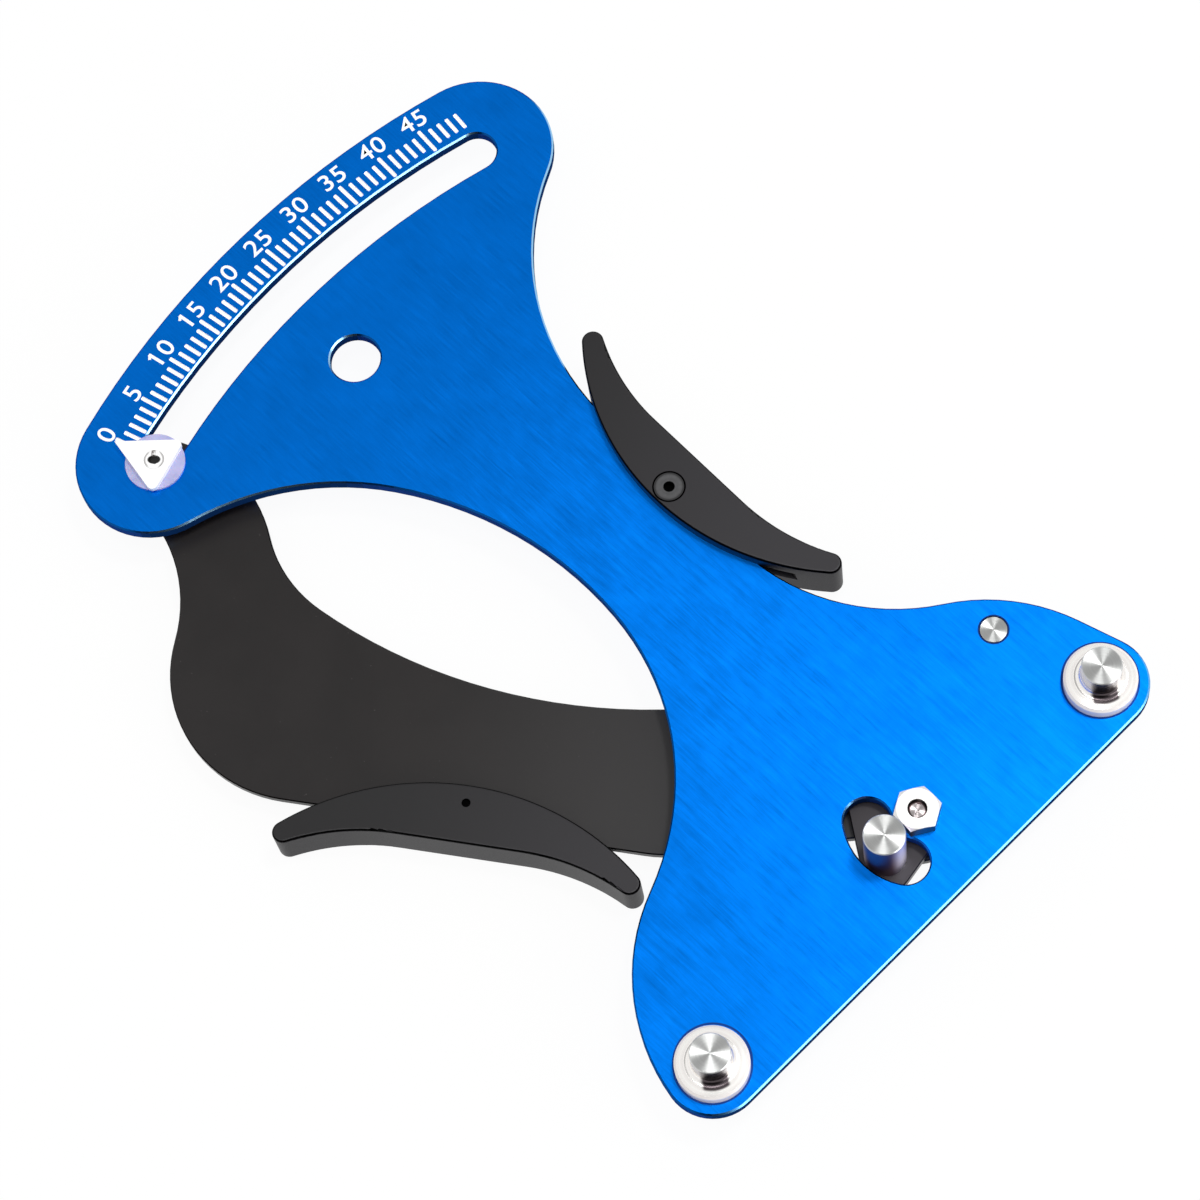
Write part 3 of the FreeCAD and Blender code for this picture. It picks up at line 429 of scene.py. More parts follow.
@dataclass(frozen=True)
class TurnedSteel:
    """Bright steel turned on a lathe: grooves round one upright axis on the end, and polished sides."""

    colour: Colour = (0.66, 0.67, 0.66)
    dark: Colour = (0.03, 0.025, 0.025)  # painted shade on an end beyond its rim
    rim_fade: float = 0.1 * MM
    # painted shade: sides darker than the end
    wall: Colour = (0.34, 0.33, 0.38)
    pale_wall: Colour | None = None  # painted highlight on the wall's one side, where it has one
    pale_side: tuple[float, float] = (0.71, -0.70)
    paling: Span = (0.25, 0.85)      # by how far the wall turns to that side
    # painted highlight: the foot's top, lighter than the end; below it, painted shade on the foot's matt
    # wall
    foot: Colour = (0.97, 0.94, 0.91)
    foot_wall: Colour = (0.78, 0.74, 0.72)
    flare: float = 1.5 * MM          # height of the flare between foot and post
    dim: Colour = (0.085, 0.070, 0.075)  # painted reflection: a dark band up one side of a post, where it mirrors nothing bright
    dim_side: tuple[float, float] = (-0.57, -0.82)
    dim_half_width: Span = (2.3 * MM, 3.1 * MM)
    dim_radius: Span = (5.8 * MM, 6.3 * MM)  # where the band ends on the foot
    dim_below: float = 0.3 * MM      # how far it starts below the foot's top
    dim_thinning: Span = (1.5 * MM, 7.0 * MM)  # above the foot's top
    dim_loss: float = 0.20           # what that thinning takes away
    pitch: float = 0.35 * MM
    shade: float = 0.98
    contrast: float = 0.16           # of the grooves
    wear: float = 0.06
    roughness: float = 0.30
    rough_swing: float = 0.05
    polish: float = 0.16             # roughness of the sides
    polish_swing: float = 0.08
    anisotropy: float = 0.95
    anisotropy_turn: float = 0.25    # a quarter, so that it runs round
    foot_levelling: Span = (0.75, 0.88)  # from the foot's wall to its top
    levelling: Span = (0.55, 0.65)   # from the post's side to its end

    def band(self, shader: Shader, axis: Vector, foot_height: float) -> Value:
        """Mask of the painted dark reflection, a band that runs up one side of a post.

        Args:
            shader: Shader that it belongs to.
            axis: Point on the post's axis, at the height of the plate's front.
            foot_height: Height of the foot's top above that point.

        Returns:
            One on the band and zero elsewhere, with soft edges.
        """
        x, y, z, radius = shader.about(axis)
        right, up = self.dim_side
        over_foot = z - foot_height
        beside = (y * right - x * up).size().fade(*self.dim_half_width)
        place = (x * right + y * up > 0.0) * (over_foot > -self.dim_below) * beside
        thinner = 1.0 - over_foot.ramp(*self.dim_thinning) * self.dim_loss
        return place * radius.fade(*self.dim_radius) * thinner

    def side(self, shader: Shader, axis: Vector, foot_height: float, dull: Value) -> Value:
        """Colour of the sides and the foot, with their painted shade, highlight and reflection.

        Args:
            shader: Shader that it belongs to.
            axis: Point on the piece's axis, at the height of the plate's front.
            foot_height: Height of the foot's top above that point.
            dull: Mask of the foot's own wall.

        Returns:
            The colour.
        """
        x, y, z, radius = shader.about(axis)
        side: Value | Colour = self.wall
        if self.pale_wall:
            right, up = self.pale_side
            side = shader.tint(((x * right + y * up) / radius).ramp(*self.paling), side, self.pale_wall)
        foot = shader.tint(dull, self.foot, self.foot_wall)
        side = shader.tint(z < foot_height + self.flare, side, foot)
        if foot_height > 0.0:
            side = shader.tint(self.band(shader, axis, foot_height), side, self.dim)
        return side

    def material(self, name: str, axis: Vector, foot_height: float = -FAR,
                 rim_from: float = FAR) -> bpy.types.Material:
        """Make the material of one turned piece.

        Args:
            name: Name of the material.
            axis: Point on the piece's axis, at the height of the plate's front.
            foot_height: Height of the top of its polished foot above that point.
            rim_from: Radius from which the end has painted shade.

        Returns:
            The material.
        """
        shader = Shader(name)
        _, _, z, radius = shader.about(axis)
        rings = shader.grooves(radius + z, self.pitch)
        wear = shader.noise(shader.place(axis), scale=260.0)
        grain = self.shade + rings.swing(self.contrast) + wear.swing(self.wear)
        end = shader.tint(radius.ramp(rim_from, rim_from + self.rim_fade), self.colour, self.dark)
        turned = shader.principled(Base_Color=shader.shaded(end, grain), Metallic=1.0,
                                   Roughness=self.roughness + rings.swing(self.rough_swing),
                                   Anisotropic=self.anisotropy,
                                   Anisotropic_Rotation=self.anisotropy_turn)
        flat = shader.facing()
        dull = (z < foot_height) * flat.fade(*self.foot_levelling)
        side = self.side(shader, axis, foot_height, dull)
        polished = shader.principled(Base_Color=shader.shaded(side, grain), Metallic=1.0 - dull,
                                     Roughness=self.polish + rings.swing(self.polish_swing))
        is_end = flat.ramp(*self.levelling) * (z > foot_height + self.flare)
        return shader.finished(shader.node("ShaderNodeMixShader", {}, {0: is_end, 1: polished, 2: turned}))


@dataclass(frozen=True)
class PlatedSteel:
    """Bright zinc plating on a fastener, slightly cloudy."""

    colour: Colour = (0.93, 0.92, 0.90)
    shade: float = 0.97
    clouding: float = 0.12
    wall_shade: float = 0.10
    levelling: Span = (0.1, 0.3)     # from a wall to a face, by how flat it lies
    roughness: float = 0.40
    rough_swing: float = 0.14

    def material(self, name: str) -> bpy.types.Material:
        """Make the material.

        Args:
            name: Its name.

        Returns:
            The material.
        """
        shader = Shader(name)
        clouds = shader.noise(shader.place(), scale=500.0, detail=3.0)
        colour = shader.shaded(self.colour, self.shade + clouds.swing(self.clouding))
        shade = shader.facing().ramp(*self.levelling) * (1.0 - self.wall_shade) + self.wall_shade
        return shader.surface(Base_Color=shader.shaded(colour, shade), Metallic=1.0,
                              Roughness=self.roughness + clouds.swing(self.rough_swing))


@dataclass(frozen=True)
class CoatedSteel:
    """Black coated steel plate, very finely textured, with painted shade on its bevels and a painted sheen
    near the posts.
    """

    colour: Colour = (0.0080, 0.0062, 0.0062)
    # lighter clouds: wear on the arm, and painted light on the post carrier
    worn: Colour = (0.0110, 0.0088, 0.0086)
    wearing: Span = (0.35, 0.70)     # by the clouds of wear
    # painted sheen towards the posts
    at_posts: Colour = (0.027, 0.0255, 0.026)
    speck: Colour = (0.05, 0.045, 0.045)
    specking: Span = (0.78, 0.84)    # only the peaks of a noise are specks
    bevel_share: float = 0.80        # brightness of a bevel over that of a face: painted shade
    flattening: Span = (0.80, 0.92)  # from a bevel to a face, by how flat it lies
    roughness: float = 0.32
    rough_swing: float = 0.16
    specular: float = 0.50
    relief: tuple[float, float] = (0.010 * MM, 0.5)  # depth and strength

    def material(self, name: str) -> bpy.types.Material:
        """Make the material.

        Args:
            name: Its name.

        Returns:
            The material.
        """
        shader = Shader(name)
        clouds = shader.noise(shader.place(), scale=60.0, detail=4.0)
        texture = shader.noise(shader.place(), scale=5200.0, detail=3.0, roughness=0.6)
        specks = shader.noise(shader.place(), scale=1300.0, detail=1.0)
        colour = shader.tint(clouds.ramp(*self.wearing), self.colour, self.worn)
        colour = shader.tint(shader.towards_posts(), colour, self.at_posts)
        colour = shader.tint(specks.ramp(*self.specking), colour, self.speck)
        flat = shader.facing().ramp(*self.flattening)
        colour = shader.shaded(colour, flat * (1.0 - self.bevel_share) + self.bevel_share)
        return shader.surface(Base_Color=colour, Metallic=1.0 - flat,
                              Roughness=self.roughness + texture.swing(self.rough_swing),
                              Specular_IOR_Level=self.specular, Normal=shader.bump(texture, *self.relief))


@dataclass(frozen=True)
class WhiteHead:
    """White painted screw head: painted shade in its oval socket, in a mark above it and in a faint ring
    round it.
    """

    face: Colour = (0.96, 0.96, 0.96)
    # painted shade in the socket
    socket: Colour = (0.004, 0.004, 0.004)
    # painted shade of the mark and the ring
    worn: Colour = (0.17, 0.15, 0.14)
    turn_deg: float = -46.4
    oval: tuple[float, float] = (1.50 * MM, 1.05 * MM)  # half axes of the socket
    oval_fade: Span = (0.85, 1.05)
    mark_left: float = 0.2 * MM      # how far left of the axis the mark runs
    mark_half_width: Span = (0.348 * MM, 0.58 * MM)  # its edges are soft, and so are its ends
    mark_start: Span = (0.70 * MM, 0.98 * MM)  # above the axis
    mark_end: Span = (2.295 * MM, 2.70 * MM)
    mark_wear: Span = (0.25, 0.6)    # the spots break it up
    ring_r: float = 2.1 * MM
    ring_half_width: float = 0.3 * MM
    ring_from: Span = (0.8 * MM, 1.6 * MM)  # the ring shows on both sides of the axis only
    ring_share: float = 0.6          # strength of the ring over that of the mark
    shade: float = 0.98
    spotting: float = 0.06
    roughness: float = 0.35
    rough_swing: float = 0.1

    def mark(self, across: Value, along: Value) -> Value:
        """Mask of the painted shade mark, from the places across and along it."""
        beside = (across + self.mark_left).size().fade(*self.mark_half_width)
        return beside * along.ramp(*self.mark_start) * along.fade(*self.mark_end)

    def material(self, name: str, axis: Vector) -> bpy.types.Material:
        """Make the material of the screw.

        Args:
            name: Name of the material.
            axis: Point on the screw's axis.

        Returns:
            The material.
        """
        shader = Shader(name)
        across, along, _ = shader.axes(shader.place(axis, self.turn_deg))
        spots = shader.noise(shader.place(axis), scale=1400.0)
        colour = shader.shaded(self.face, self.shade + spots.swing(self.spotting))
        mark = self.mark(across, along) * spots.ramp(*self.mark_wear)
        colour = shader.tint(mark, colour, self.worn)
        ring = shader.ring(axis, self.ring_r, self.ring_half_width) * across.size().ramp(*self.ring_from)
        colour = shader.tint(ring * self.ring_share, colour, self.worn)
        u, v = across / self.oval[0], along / self.oval[1]
        outside = (u * u + v * v).root().ramp(*self.oval_fade)
        return shader.surface(Base_Color=shader.tint(outside, self.socket, colour),
                              Roughness=self.roughness + spots.swing(self.rough_swing))


@dataclass(frozen=True)
class SocketHead:
    """Screw head round a hexagon socket: a face with turned rings, a darker edge, and painted shade in its
    socket.
    """

    face: Colour
    edge: Colour
    # painted shade in the socket
    socket: Colour = (0.002, 0.002, 0.002)
    socket_r: float = 1.05 * MM
    socket_fade: float = 0.15 * MM
    edge_width: Span = (0.45 * MM, 0.25 * MM)  # from the rim inwards, start and end of its fade
    pitch: float = 0.5 * MM
    contrast: tuple[float, float] = (0.9, 0.5)  # of rings and spots
    roughness: float = 0.36
    rough_swing: float = 0.1

    def material(self, name: str, axis: Vector, head_r: float) -> bpy.types.Material:
        """Make the material of one screw.

        Args:
            name: Name of the material.
            axis: Point on the screw's axis.
            head_r: Radius of its head.

        Returns:
            The material.
        """
        shader = Shader(name)
        radius = shader.about(axis)[3]
        rings = shader.grooves(radius, self.pitch)
        spots = shader.noise(shader.place(axis), scale=1500.0)
        fade_from, fade_to = (head_r - width for width in self.edge_width)
        colour = shader.tint(radius.ramp(fade_from, fade_to), self.face, self.edge)
        in_rings, in_spots = self.contrast
        colour = shader.shaded(colour, rings.swing(in_rings) + spots.swing(in_spots) + 1.0)
        outside = radius.ramp(self.socket_r, self.socket_r + self.socket_fade)
        return shader.surface(Base_Color=shader.tint(outside, self.socket, colour), Metallic=1.0 - outside,
                              Roughness=self.roughness + rings.swing(self.rough_swing))


@dataclass(frozen=True)
class Moulding:
    """Moulded black plastic with a fine spark-eroded texture; painted shade darkens its walls and makes its
    edges black.
    """

    colour: Colour
    # painted sheen towards the posts
    at_posts: Colour
    # painted shade on the walls
    wall: Colour
    roughness: float
    # painted shade: black bevels
    bevel: Colour = (0.001, 0.001, 0.001)
    flow: float = 1.2                # brightness in the streams of the flow
    flowing: Span = (0.3, 0.75)
    flattening: Span = (0.86, 0.93)  # from a bevel to a face, by how flat it lies
    levelling: Span = (0.20, 0.40)   # from a wall to a bevel
    gap_out: float = 0.10 * MM       # from a screw's head to the middle of the painted shadow in its gap
    gap: float = 0.30 * MM           # half width of that painted shadow
    rough_swing: float = 0.20
    specular: float = 0.40
    relief: tuple[float, float] = (0.012 * MM, 0.6)  # depth and strength

    def material(self, name: str, screw: tuple[Vector, float] | None = None) -> bpy.types.Material:
        """Make the material.

        Args:
            name: Name of the material.
            screw: Axis and radius of a screw head that is let in, with a painted shadow in the gap round it.

        Returns:
            The material.
        """
        shader = Shader(name)
        spark = shader.noise(shader.place(), scale=4200.0, detail=3.0, roughness=0.6)
        streams = shader.noise(shader.place(), scale=45.0, detail=3.0)
        lighter = tuple(self.flow * part for part in self.colour)
        tone = shader.tint(streams.ramp(*self.flowing), self.colour, lighter)
        tone = shader.tint(shader.towards_posts(), tone, self.at_posts)
        up = shader.facing()
        flat = up.ramp(*self.flattening)
        edge = shader.tint(up.ramp(*self.levelling), self.wall, self.bevel)
        tone, metallic = shader.tint(flat, edge, tone), 1.0 - flat
        if screw:
            axis, head_r = screw
            gap = shader.ring(axis, head_r + self.gap_out, self.gap)
            tone, metallic = shader.shaded(tone, 1.0 - gap), 1.0 - flat * (1.0 - gap)
        return shader.surface(Base_Color=tone, Metallic=metallic,
                              Roughness=self.roughness + spark.swing(self.rough_swing),
                              Specular_IOR_Level=self.specular, Normal=shader.bump(spark, *self.relief))


class Plastic(Enum):
    """Moulded plastics of the tool."""

    GRIP = Moulding(colour=(0.0040, 0.0035, 0.0042), at_posts=(0.019, 0.0175, 0.021),
                    wall=(0.016, 0.015, 0.017), roughness=0.44)
    NYLON = Moulding(colour=(0.006, 0.006, 0.0065), at_posts=(0.006, 0.006, 0.0065),
                     wall=(0.020, 0.020, 0.022), roughness=0.42)


@dataclass(frozen=True)
class MilkyPlastic:
    """Clear plastic with a faint lilac cast."""

    colour: Colour = (0.42, 0.42, 0.68)
    pale: Colour = (0.50, 0.50, 0.76)
    clouding: Span = (0.3, 0.7)
    roughness: float = 0.28
    rough_swing: float = 0.1
    refraction: float = 1.49
    milk: float = 0.25               # share of the light that wanders in it
    depth: float = 0.6 * MM          # how far that light wanders

    def material(self, name: str) -> bpy.types.Material:
        """Make the material.

        Args:
            name: Its name.

        Returns:
            The material.
        """
        shader = Shader(name)
        clouds = shader.noise(shader.place(), scale=320.0)
        tone = shader.tint(clouds.ramp(*self.clouding), self.colour, self.pale)
        return shader.surface(Base_Color=tone, Roughness=self.roughness + clouds.swing(self.rough_swing),
                              IOR=self.refraction, Subsurface_Weight=self.milk, Subsurface_Scale=self.depth)


@dataclass(frozen=True)
class Paint:
    """Opaque paint or printing ink."""

    roughness: float
    colour: Colour = (0.99, 0.99, 0.99)
    thin_share: float = 0.97         # brightness where it lies thin
    thinning: Span = (0.35, 0.65)
    rough_swing: float = 0.1
    relief: tuple[float, float] = (0.003 * MM, 0.4)  # depth and strength

    def material(self, name: str) -> bpy.types.Material:
        """Make the material.

        Args:
            name: Its name.

        Returns:
            The material.
        """
        shader = Shader(name)
        grain = shader.noise(shader.place(), scale=2600.0, detail=3.0)
        thin = tuple(self.thin_share * part for part in self.colour)
        tone = shader.tint(grain.ramp(*self.thinning), thin, self.colour)
        return shader.surface(Base_Color=tone, Roughness=self.roughness + grain.swing(self.rough_swing),
                              Normal=shader.bump(grain, *self.relief))


@dataclass(frozen=True)
class SinteredBronze:
    """Oil-filled bronze of a plain bush."""

    colour: Colour = (0.50, 0.31, 0.14)
    pore: Colour = (0.22, 0.13, 0.06)
    pitting: Span = (0.55, 0.75)
    roughness: float = 0.42
    rough_swing: float = 0.2
    relief: tuple[float, float] = (0.01 * MM, 0.5)  # depth and strength

    def material(self, name: str) -> bpy.types.Material:
        """Make the material.

        Args:
            name: Its name.

        Returns:
            The material.
        """
        shader = Shader(name)
        pores = shader.noise(shader.place(), scale=6000.0)
        tone = shader.tint(pores.ramp(*self.pitting), self.colour, self.pore)
        return shader.surface(Base_Color=tone, Metallic=1.0,
                              Roughness=self.roughness + pores.swing(self.rough_swing),
                              Normal=shader.bump(pores, *self.relief))


# ---------------------------------------------------------------- shared modelling steps
def deselect_all() -> None:
    """Leave nothing selected, so that an operator acts only on what is added next."""
    bpy.ops.object.select_all(action="DESELECT")


def joined(pieces: list[bpy.types.Object], name: str, material: bpy.types.Material) -> bpy.types.Object:
    """Join pieces into one object.

    Args:
        pieces: Mesh objects in their places.
        name: Name of the joined piece.
        material: Its material.

    Returns:
        The joined object.
    """
    deselect_all()
    for piece in pieces:
        piece.select_set(True)
    bpy.context.view_layer.objects.active = pieces[0]
    if len(pieces) > 1:
        bpy.ops.object.join()
    whole = pieces[0]
    whole.name = name
    whole.data.name = name
    whole.data.materials.clear()
    whole.data.materials.append(material)
    return whole


def merge_corners(turn_outwards: bool = False, nearer_than: float = 0.001 * MM) -> None:
    """Merge the doubled corners of the active mesh.

    Args:
        turn_outwards: Whether its faces are turned outwards too.
        nearer_than: Distance under which two corners are one.
    """
    bpy.ops.object.mode_set(mode="EDIT")
    bpy.ops.mesh.select_all(action="SELECT")
    bpy.ops.mesh.remove_doubles(threshold=nearer_than)
    if turn_outwards:
        bpy.ops.mesh.normals_make_consistent(inside=False)
    bpy.ops.object.mode_set(mode="OBJECT")


def polar(radius: float, degrees: float) -> Vector:
    """Point at a radius and an angle from +X, in the plate's plane."""
    angle = math.radians(degrees)
    return Vector((radius * math.cos(angle), radius * math.sin(angle), 0.0))


def spin(degrees: float) -> Matrix:
    """Turn about Z."""
    return Matrix.Rotation(math.radians(degrees), 4, "Z")


# ---------------------------------------------------------------- sub-assemblies
@dataclass
class ToolFrame:
    """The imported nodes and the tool's main reference points."""

    nodes: Mapping[str, bpy.types.Object]
    pivot: Vector

    @classmethod
    def from_frame(cls, frame: Mapping[str, Any]) -> "ToolFrame":
        """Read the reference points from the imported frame.


        Returns:
            The tool's frame.
        """
        joint = frame["joints"][0]
        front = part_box("body_plate")[1].z
        return cls(frame["nodes"], Vector((joint["pos_m"][0], joint["pos_m"][1], front)))

    def centre(self, node: str) -> Vector:
        """Middle of a node in plan, at the height of the plate's front."""
        low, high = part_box(node)
        return Vector(((low.x + high.x) / 2.0, (low.y + high.y) / 2.0, self.pivot.z))

    def half_width(self, node: str) -> float:
        """Half of a node's width along X."""
        low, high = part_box(node)
        return (high.x - low.x) / 2.0

    def dress(self, material: bpy.types.Material, *names: str) -> None:
        """Give CAD nodes a material.

        Args:
            material: Their new material.
            names: Nodes that get the material.
        """
        for name in names:
            for slot in self.nodes[name].material_slots:
                slot.material = material
            LOG.info("dressed %s with %s", name, material.name)


@dataclass
class Assembly(ABC):
    """Pieces of the tool that are dressed or made together."""

    tool: ToolFrame

    @abstractmethod
    def build(self) -> None:
        """Dress the pieces, and make those that the frame lacks."""


@dataclass
class BodyPlate(Assembly):
    """Anodised plate with its printed scale."""

    divisions: int = 49
    first_deg: float = 107.57
    step_deg: float = 0.6485
    numbered_every: int = 5
    tick_width: float = 0.86 * MM
    tick_corner: float = 0.30        # radius of a line's corners over its width
    corner_segments: int = 4
    tick_inner: float = 187.15 * MM
    tick_outer: float = 191.40 * MM
    long_tick_inner: float = 186.50 * MM
    long_tick_outer: float = 192.35 * MM
    tick_drift: float = 2.5 * MM     # the lines' circle lies right of the pivot by this
    lean_per_square: float = 0.0031  # degrees of lean over the square of the division
    number_radius: float = 195.20 * MM
    number_drift: float = 3.5 * MM
    number_height: float = 4.25 * MM
    number_width_share: float = 1.08
    number_spacing: float = 1.06
    number_bold: float = 0.040 * MM
    curve_steps: int = 6
    capital_share: float = 0.73      # height of a figure over the font's size
    flag: tuple[float, float] = (1.05 * MM, 0.62 * MM)  # length and width of the flag of a one
    flag_deg: float = 38.0
    flag_root: float = 0.25 * MM     # from the left of the stem to the root of its flag
    flag_share: float = 0.45         # length of the flag left of its root over all its length
    flag_drop: float = 0.003 * MM    # how far its top lies under the figure's
    stem_width: float = 0.3 * MM     # of the one, where its top is looked for
    ink_below: float = 0.01 * MM
    ink_above: float = 0.03 * MM
    foot_gap: float = 0.20 * MM      # from a foot to the middle of the painted shadow line round it
    # drift of a second painted shadow line round each post's foot, beside the first
    foot_shade: Vector = field(default_factory=lambda: Vector((0.57, 0.57, 0.0)) * MM)

    def build(self) -> None:
        """Dress the plate and print the scale."""
        feet = []
        for name, shade in (("fixed_post_left", self.foot_shade), ("fixed_post_right", self.foot_shade),
                            ("spring_anchor_pin", Vector())):
            centre, radius = self.tool.centre(name), self.tool.half_width(name) + self.foot_gap
            feet += [(centre, radius), (centre + shade, radius)]
        self.tool.dress(BrushedAnodising().material(self.tool.pivot, feet), "body_plate")
        ink = Paint(roughness=0.5).material("white_ink")
        for piece in (self.ticks(ink), self.numbers(ink)):
            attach(piece, "body")
            LOG.info("printed %s: %d faces", piece.name, len(piece.data.polygons))

    def ink_depth(self) -> float:
        """Depth of the ink, of which a little lies in the plate."""
        return self.ink_below + self.ink_above

    def ink_middle(self) -> float:
        """Height of the ink's middle over the plate."""
        return (self.ink_above - self.ink_below) / 2.0

    def angle(self, division: float) -> float:
        """Angle of a division of the scale, from +X."""
        return self.first_deg - division * self.step_deg

    def tick(self) -> bpy.types.Object:
        """Model the pattern of a printed line, along +X about its own middle, with rounded corners.

        Returns:
            The pattern line.
        """
        deselect_all()
        bpy.ops.mesh.primitive_cube_add(size=1.0)
        line = bpy.context.active_object
        length = self.tick_outer - self.tick_inner
        bpy.ops.object.mode_set(mode="EDIT")
        bpy.ops.transform.resize(value=(length, self.tick_width, self.ink_depth()))
        bpy.ops.transform.translate(value=(0.0, 0.0, self.ink_middle()))
        bpy.ops.object.mode_set(mode="OBJECT")
        for edge in line.data.edges:
            first, second = (line.data.vertices[index].co for index in edge.vertices)
            edge.select = abs(first.z - second.z) > self.ink_above / 2.0
        bpy.ops.object.mode_set(mode="EDIT")
        bpy.ops.mesh.select_mode(type="EDGE")
        bpy.ops.mesh.bevel(offset=self.tick_corner * self.tick_width, segments=self.corner_segments)
        bpy.ops.object.mode_set(mode="OBJECT")
        return line

    def tick_place(self, division: int) -> Matrix:
        """Place of one line of the scale.

        Args:
            division: Number of the line, counted from zero.

        Returns:
            Matrix that takes the pattern line to its place.
        """
        angle = self.angle(division)
        drift = self.tick_drift * math.cos(math.radians(angle))
        is_long = division % self.numbered_every == 0
        inner = self.long_tick_inner if is_long else self.tick_inner + drift
        outer = (self.long_tick_outer if is_long else self.tick_outer) + drift
        stretch = (outer - inner) / (self.tick_outer - self.tick_inner)
        lean = self.lean_per_square * division * division
        return (Matrix.Translation(self.tool.pivot + polar((inner + outer) / 2.0, angle))
                @ spin(angle + lean) @ Matrix.Diagonal((stretch, 1.0, 1.0, 1.0)))

    def ticks(self, ink: bpy.types.Material) -> bpy.types.Object:
        """Print all lines of the scale.

        Args:
            ink: Material of the ink.

        Returns:
            The lines as one piece.
        """
        pattern = self.tick()
        lines = []
        for division in range(self.divisions + 1):
            line = pattern.copy()
            line.data = pattern.data.copy()
            line.data.transform(self.tick_place(division))
            bpy.context.scene.collection.objects.link(line)
            lines.append(line)
        bpy.data.objects.remove(pattern)
        return joined(lines, "scale_ticks", ink)

    def add_flag(self, figure: bpy.types.Object) -> None:
        """Add the flag to the one that a number begins with.

        Args:
            figure: Number that lies in the XY plane with its foot on X.
        """
        left = min(vertex.co.x for vertex in figure.data.vertices)
        top = max(vertex.co.y for vertex in figure.data.vertices if vertex.co.x < left + self.stem_width)
        length, width = self.flag
        deselect_all()
        bpy.ops.mesh.primitive_cube_add(size=1.0)
        flag = bpy.context.active_object
        flag.data.transform(Matrix.Translation((left + self.flag_root, top - width / 2.0, -self.flag_drop))
                            @ spin(self.flag_deg)
                            @ Matrix.Translation((-self.flag_share * length, 0.0, 0.0))
                            @ Matrix.Diagonal((length, width, self.ink_depth(), 1.0)))
        figure.select_set(True)
        bpy.context.view_layer.objects.active = figure
        bpy.ops.object.join()

    def figure(self, division: int) -> bpy.types.Object:
        """Print one number of the scale.

        Args:
            division: Division that the number stands at.

        Returns:
            The number in its place, with its top outwards.
        """
        deselect_all()
        bpy.ops.object.text_add()
        text = bpy.context.active_object.data
        text.body = str(division)
        text.align_x = "CENTER"
        text.align_y = "BOTTOM_BASELINE"
        text.size = self.number_height / self.capital_share
        text.extrude = self.ink_depth() / 2.0
        text.offset = self.number_bold
        text.resolution_u = self.curve_steps
        text.space_character = self.number_spacing
        bpy.ops.object.convert(target="MESH")
        figure = bpy.context.active_object
        if str(division).startswith("1"):
            self.add_flag(figure)
        angle = self.angle(division)
        radius = self.number_radius + self.number_drift * math.cos(math.radians(angle))
        figure.data.transform(Matrix.Translation(self.tool.pivot + polar(radius, angle))
                              @ spin(angle - 90.0)
                              @ Matrix.Diagonal((self.number_width_share, 1.0, 1.0, 1.0))
                              @ Matrix.Translation((0.0, -self.number_height / 2.0, self.ink_middle())))
        merge_corners(turn_outwards=True)
        return figure

    def numbers(self, ink: bpy.types.Material) -> bpy.types.Object:
        """The scale's numbers as one printed piece."""
        figures = [self.figure(division) for division in range(0, self.divisions, self.numbered_every)]
        return joined(figures, "scale_numbers", ink)


@dataclass
class Posts(Assembly):
    """The two fixed posts and the moving post."""

    foot_height: float = 3.55 * MM

    def build(self) -> None:
        """Give each turned piece grooves round its own axis."""
        # the fixed posts' feet carry a painted highlight, lighter than their ends
        steel = TurnedSteel(polish=0.25, wall=(0.62, 0.61, 0.64), foot=(1.0, 0.97, 0.94))
        for name in ("fixed_post_left", "fixed_post_right"):
            self.tool.dress(steel.material(f"{name}_steel", self.tool.centre(name), self.foot_height), name)
        # the moving post's sides: painted shade, and a painted lavender highlight on one side
        dull = TurnedSteel(polish=0.42, wall=(0.17, 0.09, 0.13), pale_wall=(0.85, 0.80, 0.98))
        moving = dull.material("moving_post_steel", self.tool.centre("moving_post"))
        self.tool.dress(moving, "moving_post")
        self.tool.dress(PlatedSteel().material("screw_zinc"), "fixed_post_screws", "moving_post_screw")


@dataclass
class Pivot(Assembly):
    """Bolt, nut, bush and washers that the lever turns on."""

    thread_root_r: float = 1.45 * MM

    def build(self) -> None:
        """Dress the pivot's pieces."""
        # the bolt's end gets painted shade beyond the thread's root
        steel = TurnedSteel(colour=(0.74, 0.67, 0.67), dark=(0.16, 0.11, 0.11))
        bolt = steel.material("pivot_bolt_steel", self.tool.pivot, rim_from=self.thread_root_r)
        self.tool.dress(bolt, "pivot_bolt")
        self.tool.dress(PlatedSteel().material("pivot_nut_zinc"), "pivot_nut")
        self.tool.dress(SinteredBronze().material("bush_bronze"), "pivot_bush")
        self.tool.dress(Plastic.NYLON.value.material("washer_nylon"), "front_washer", "rear_washer")


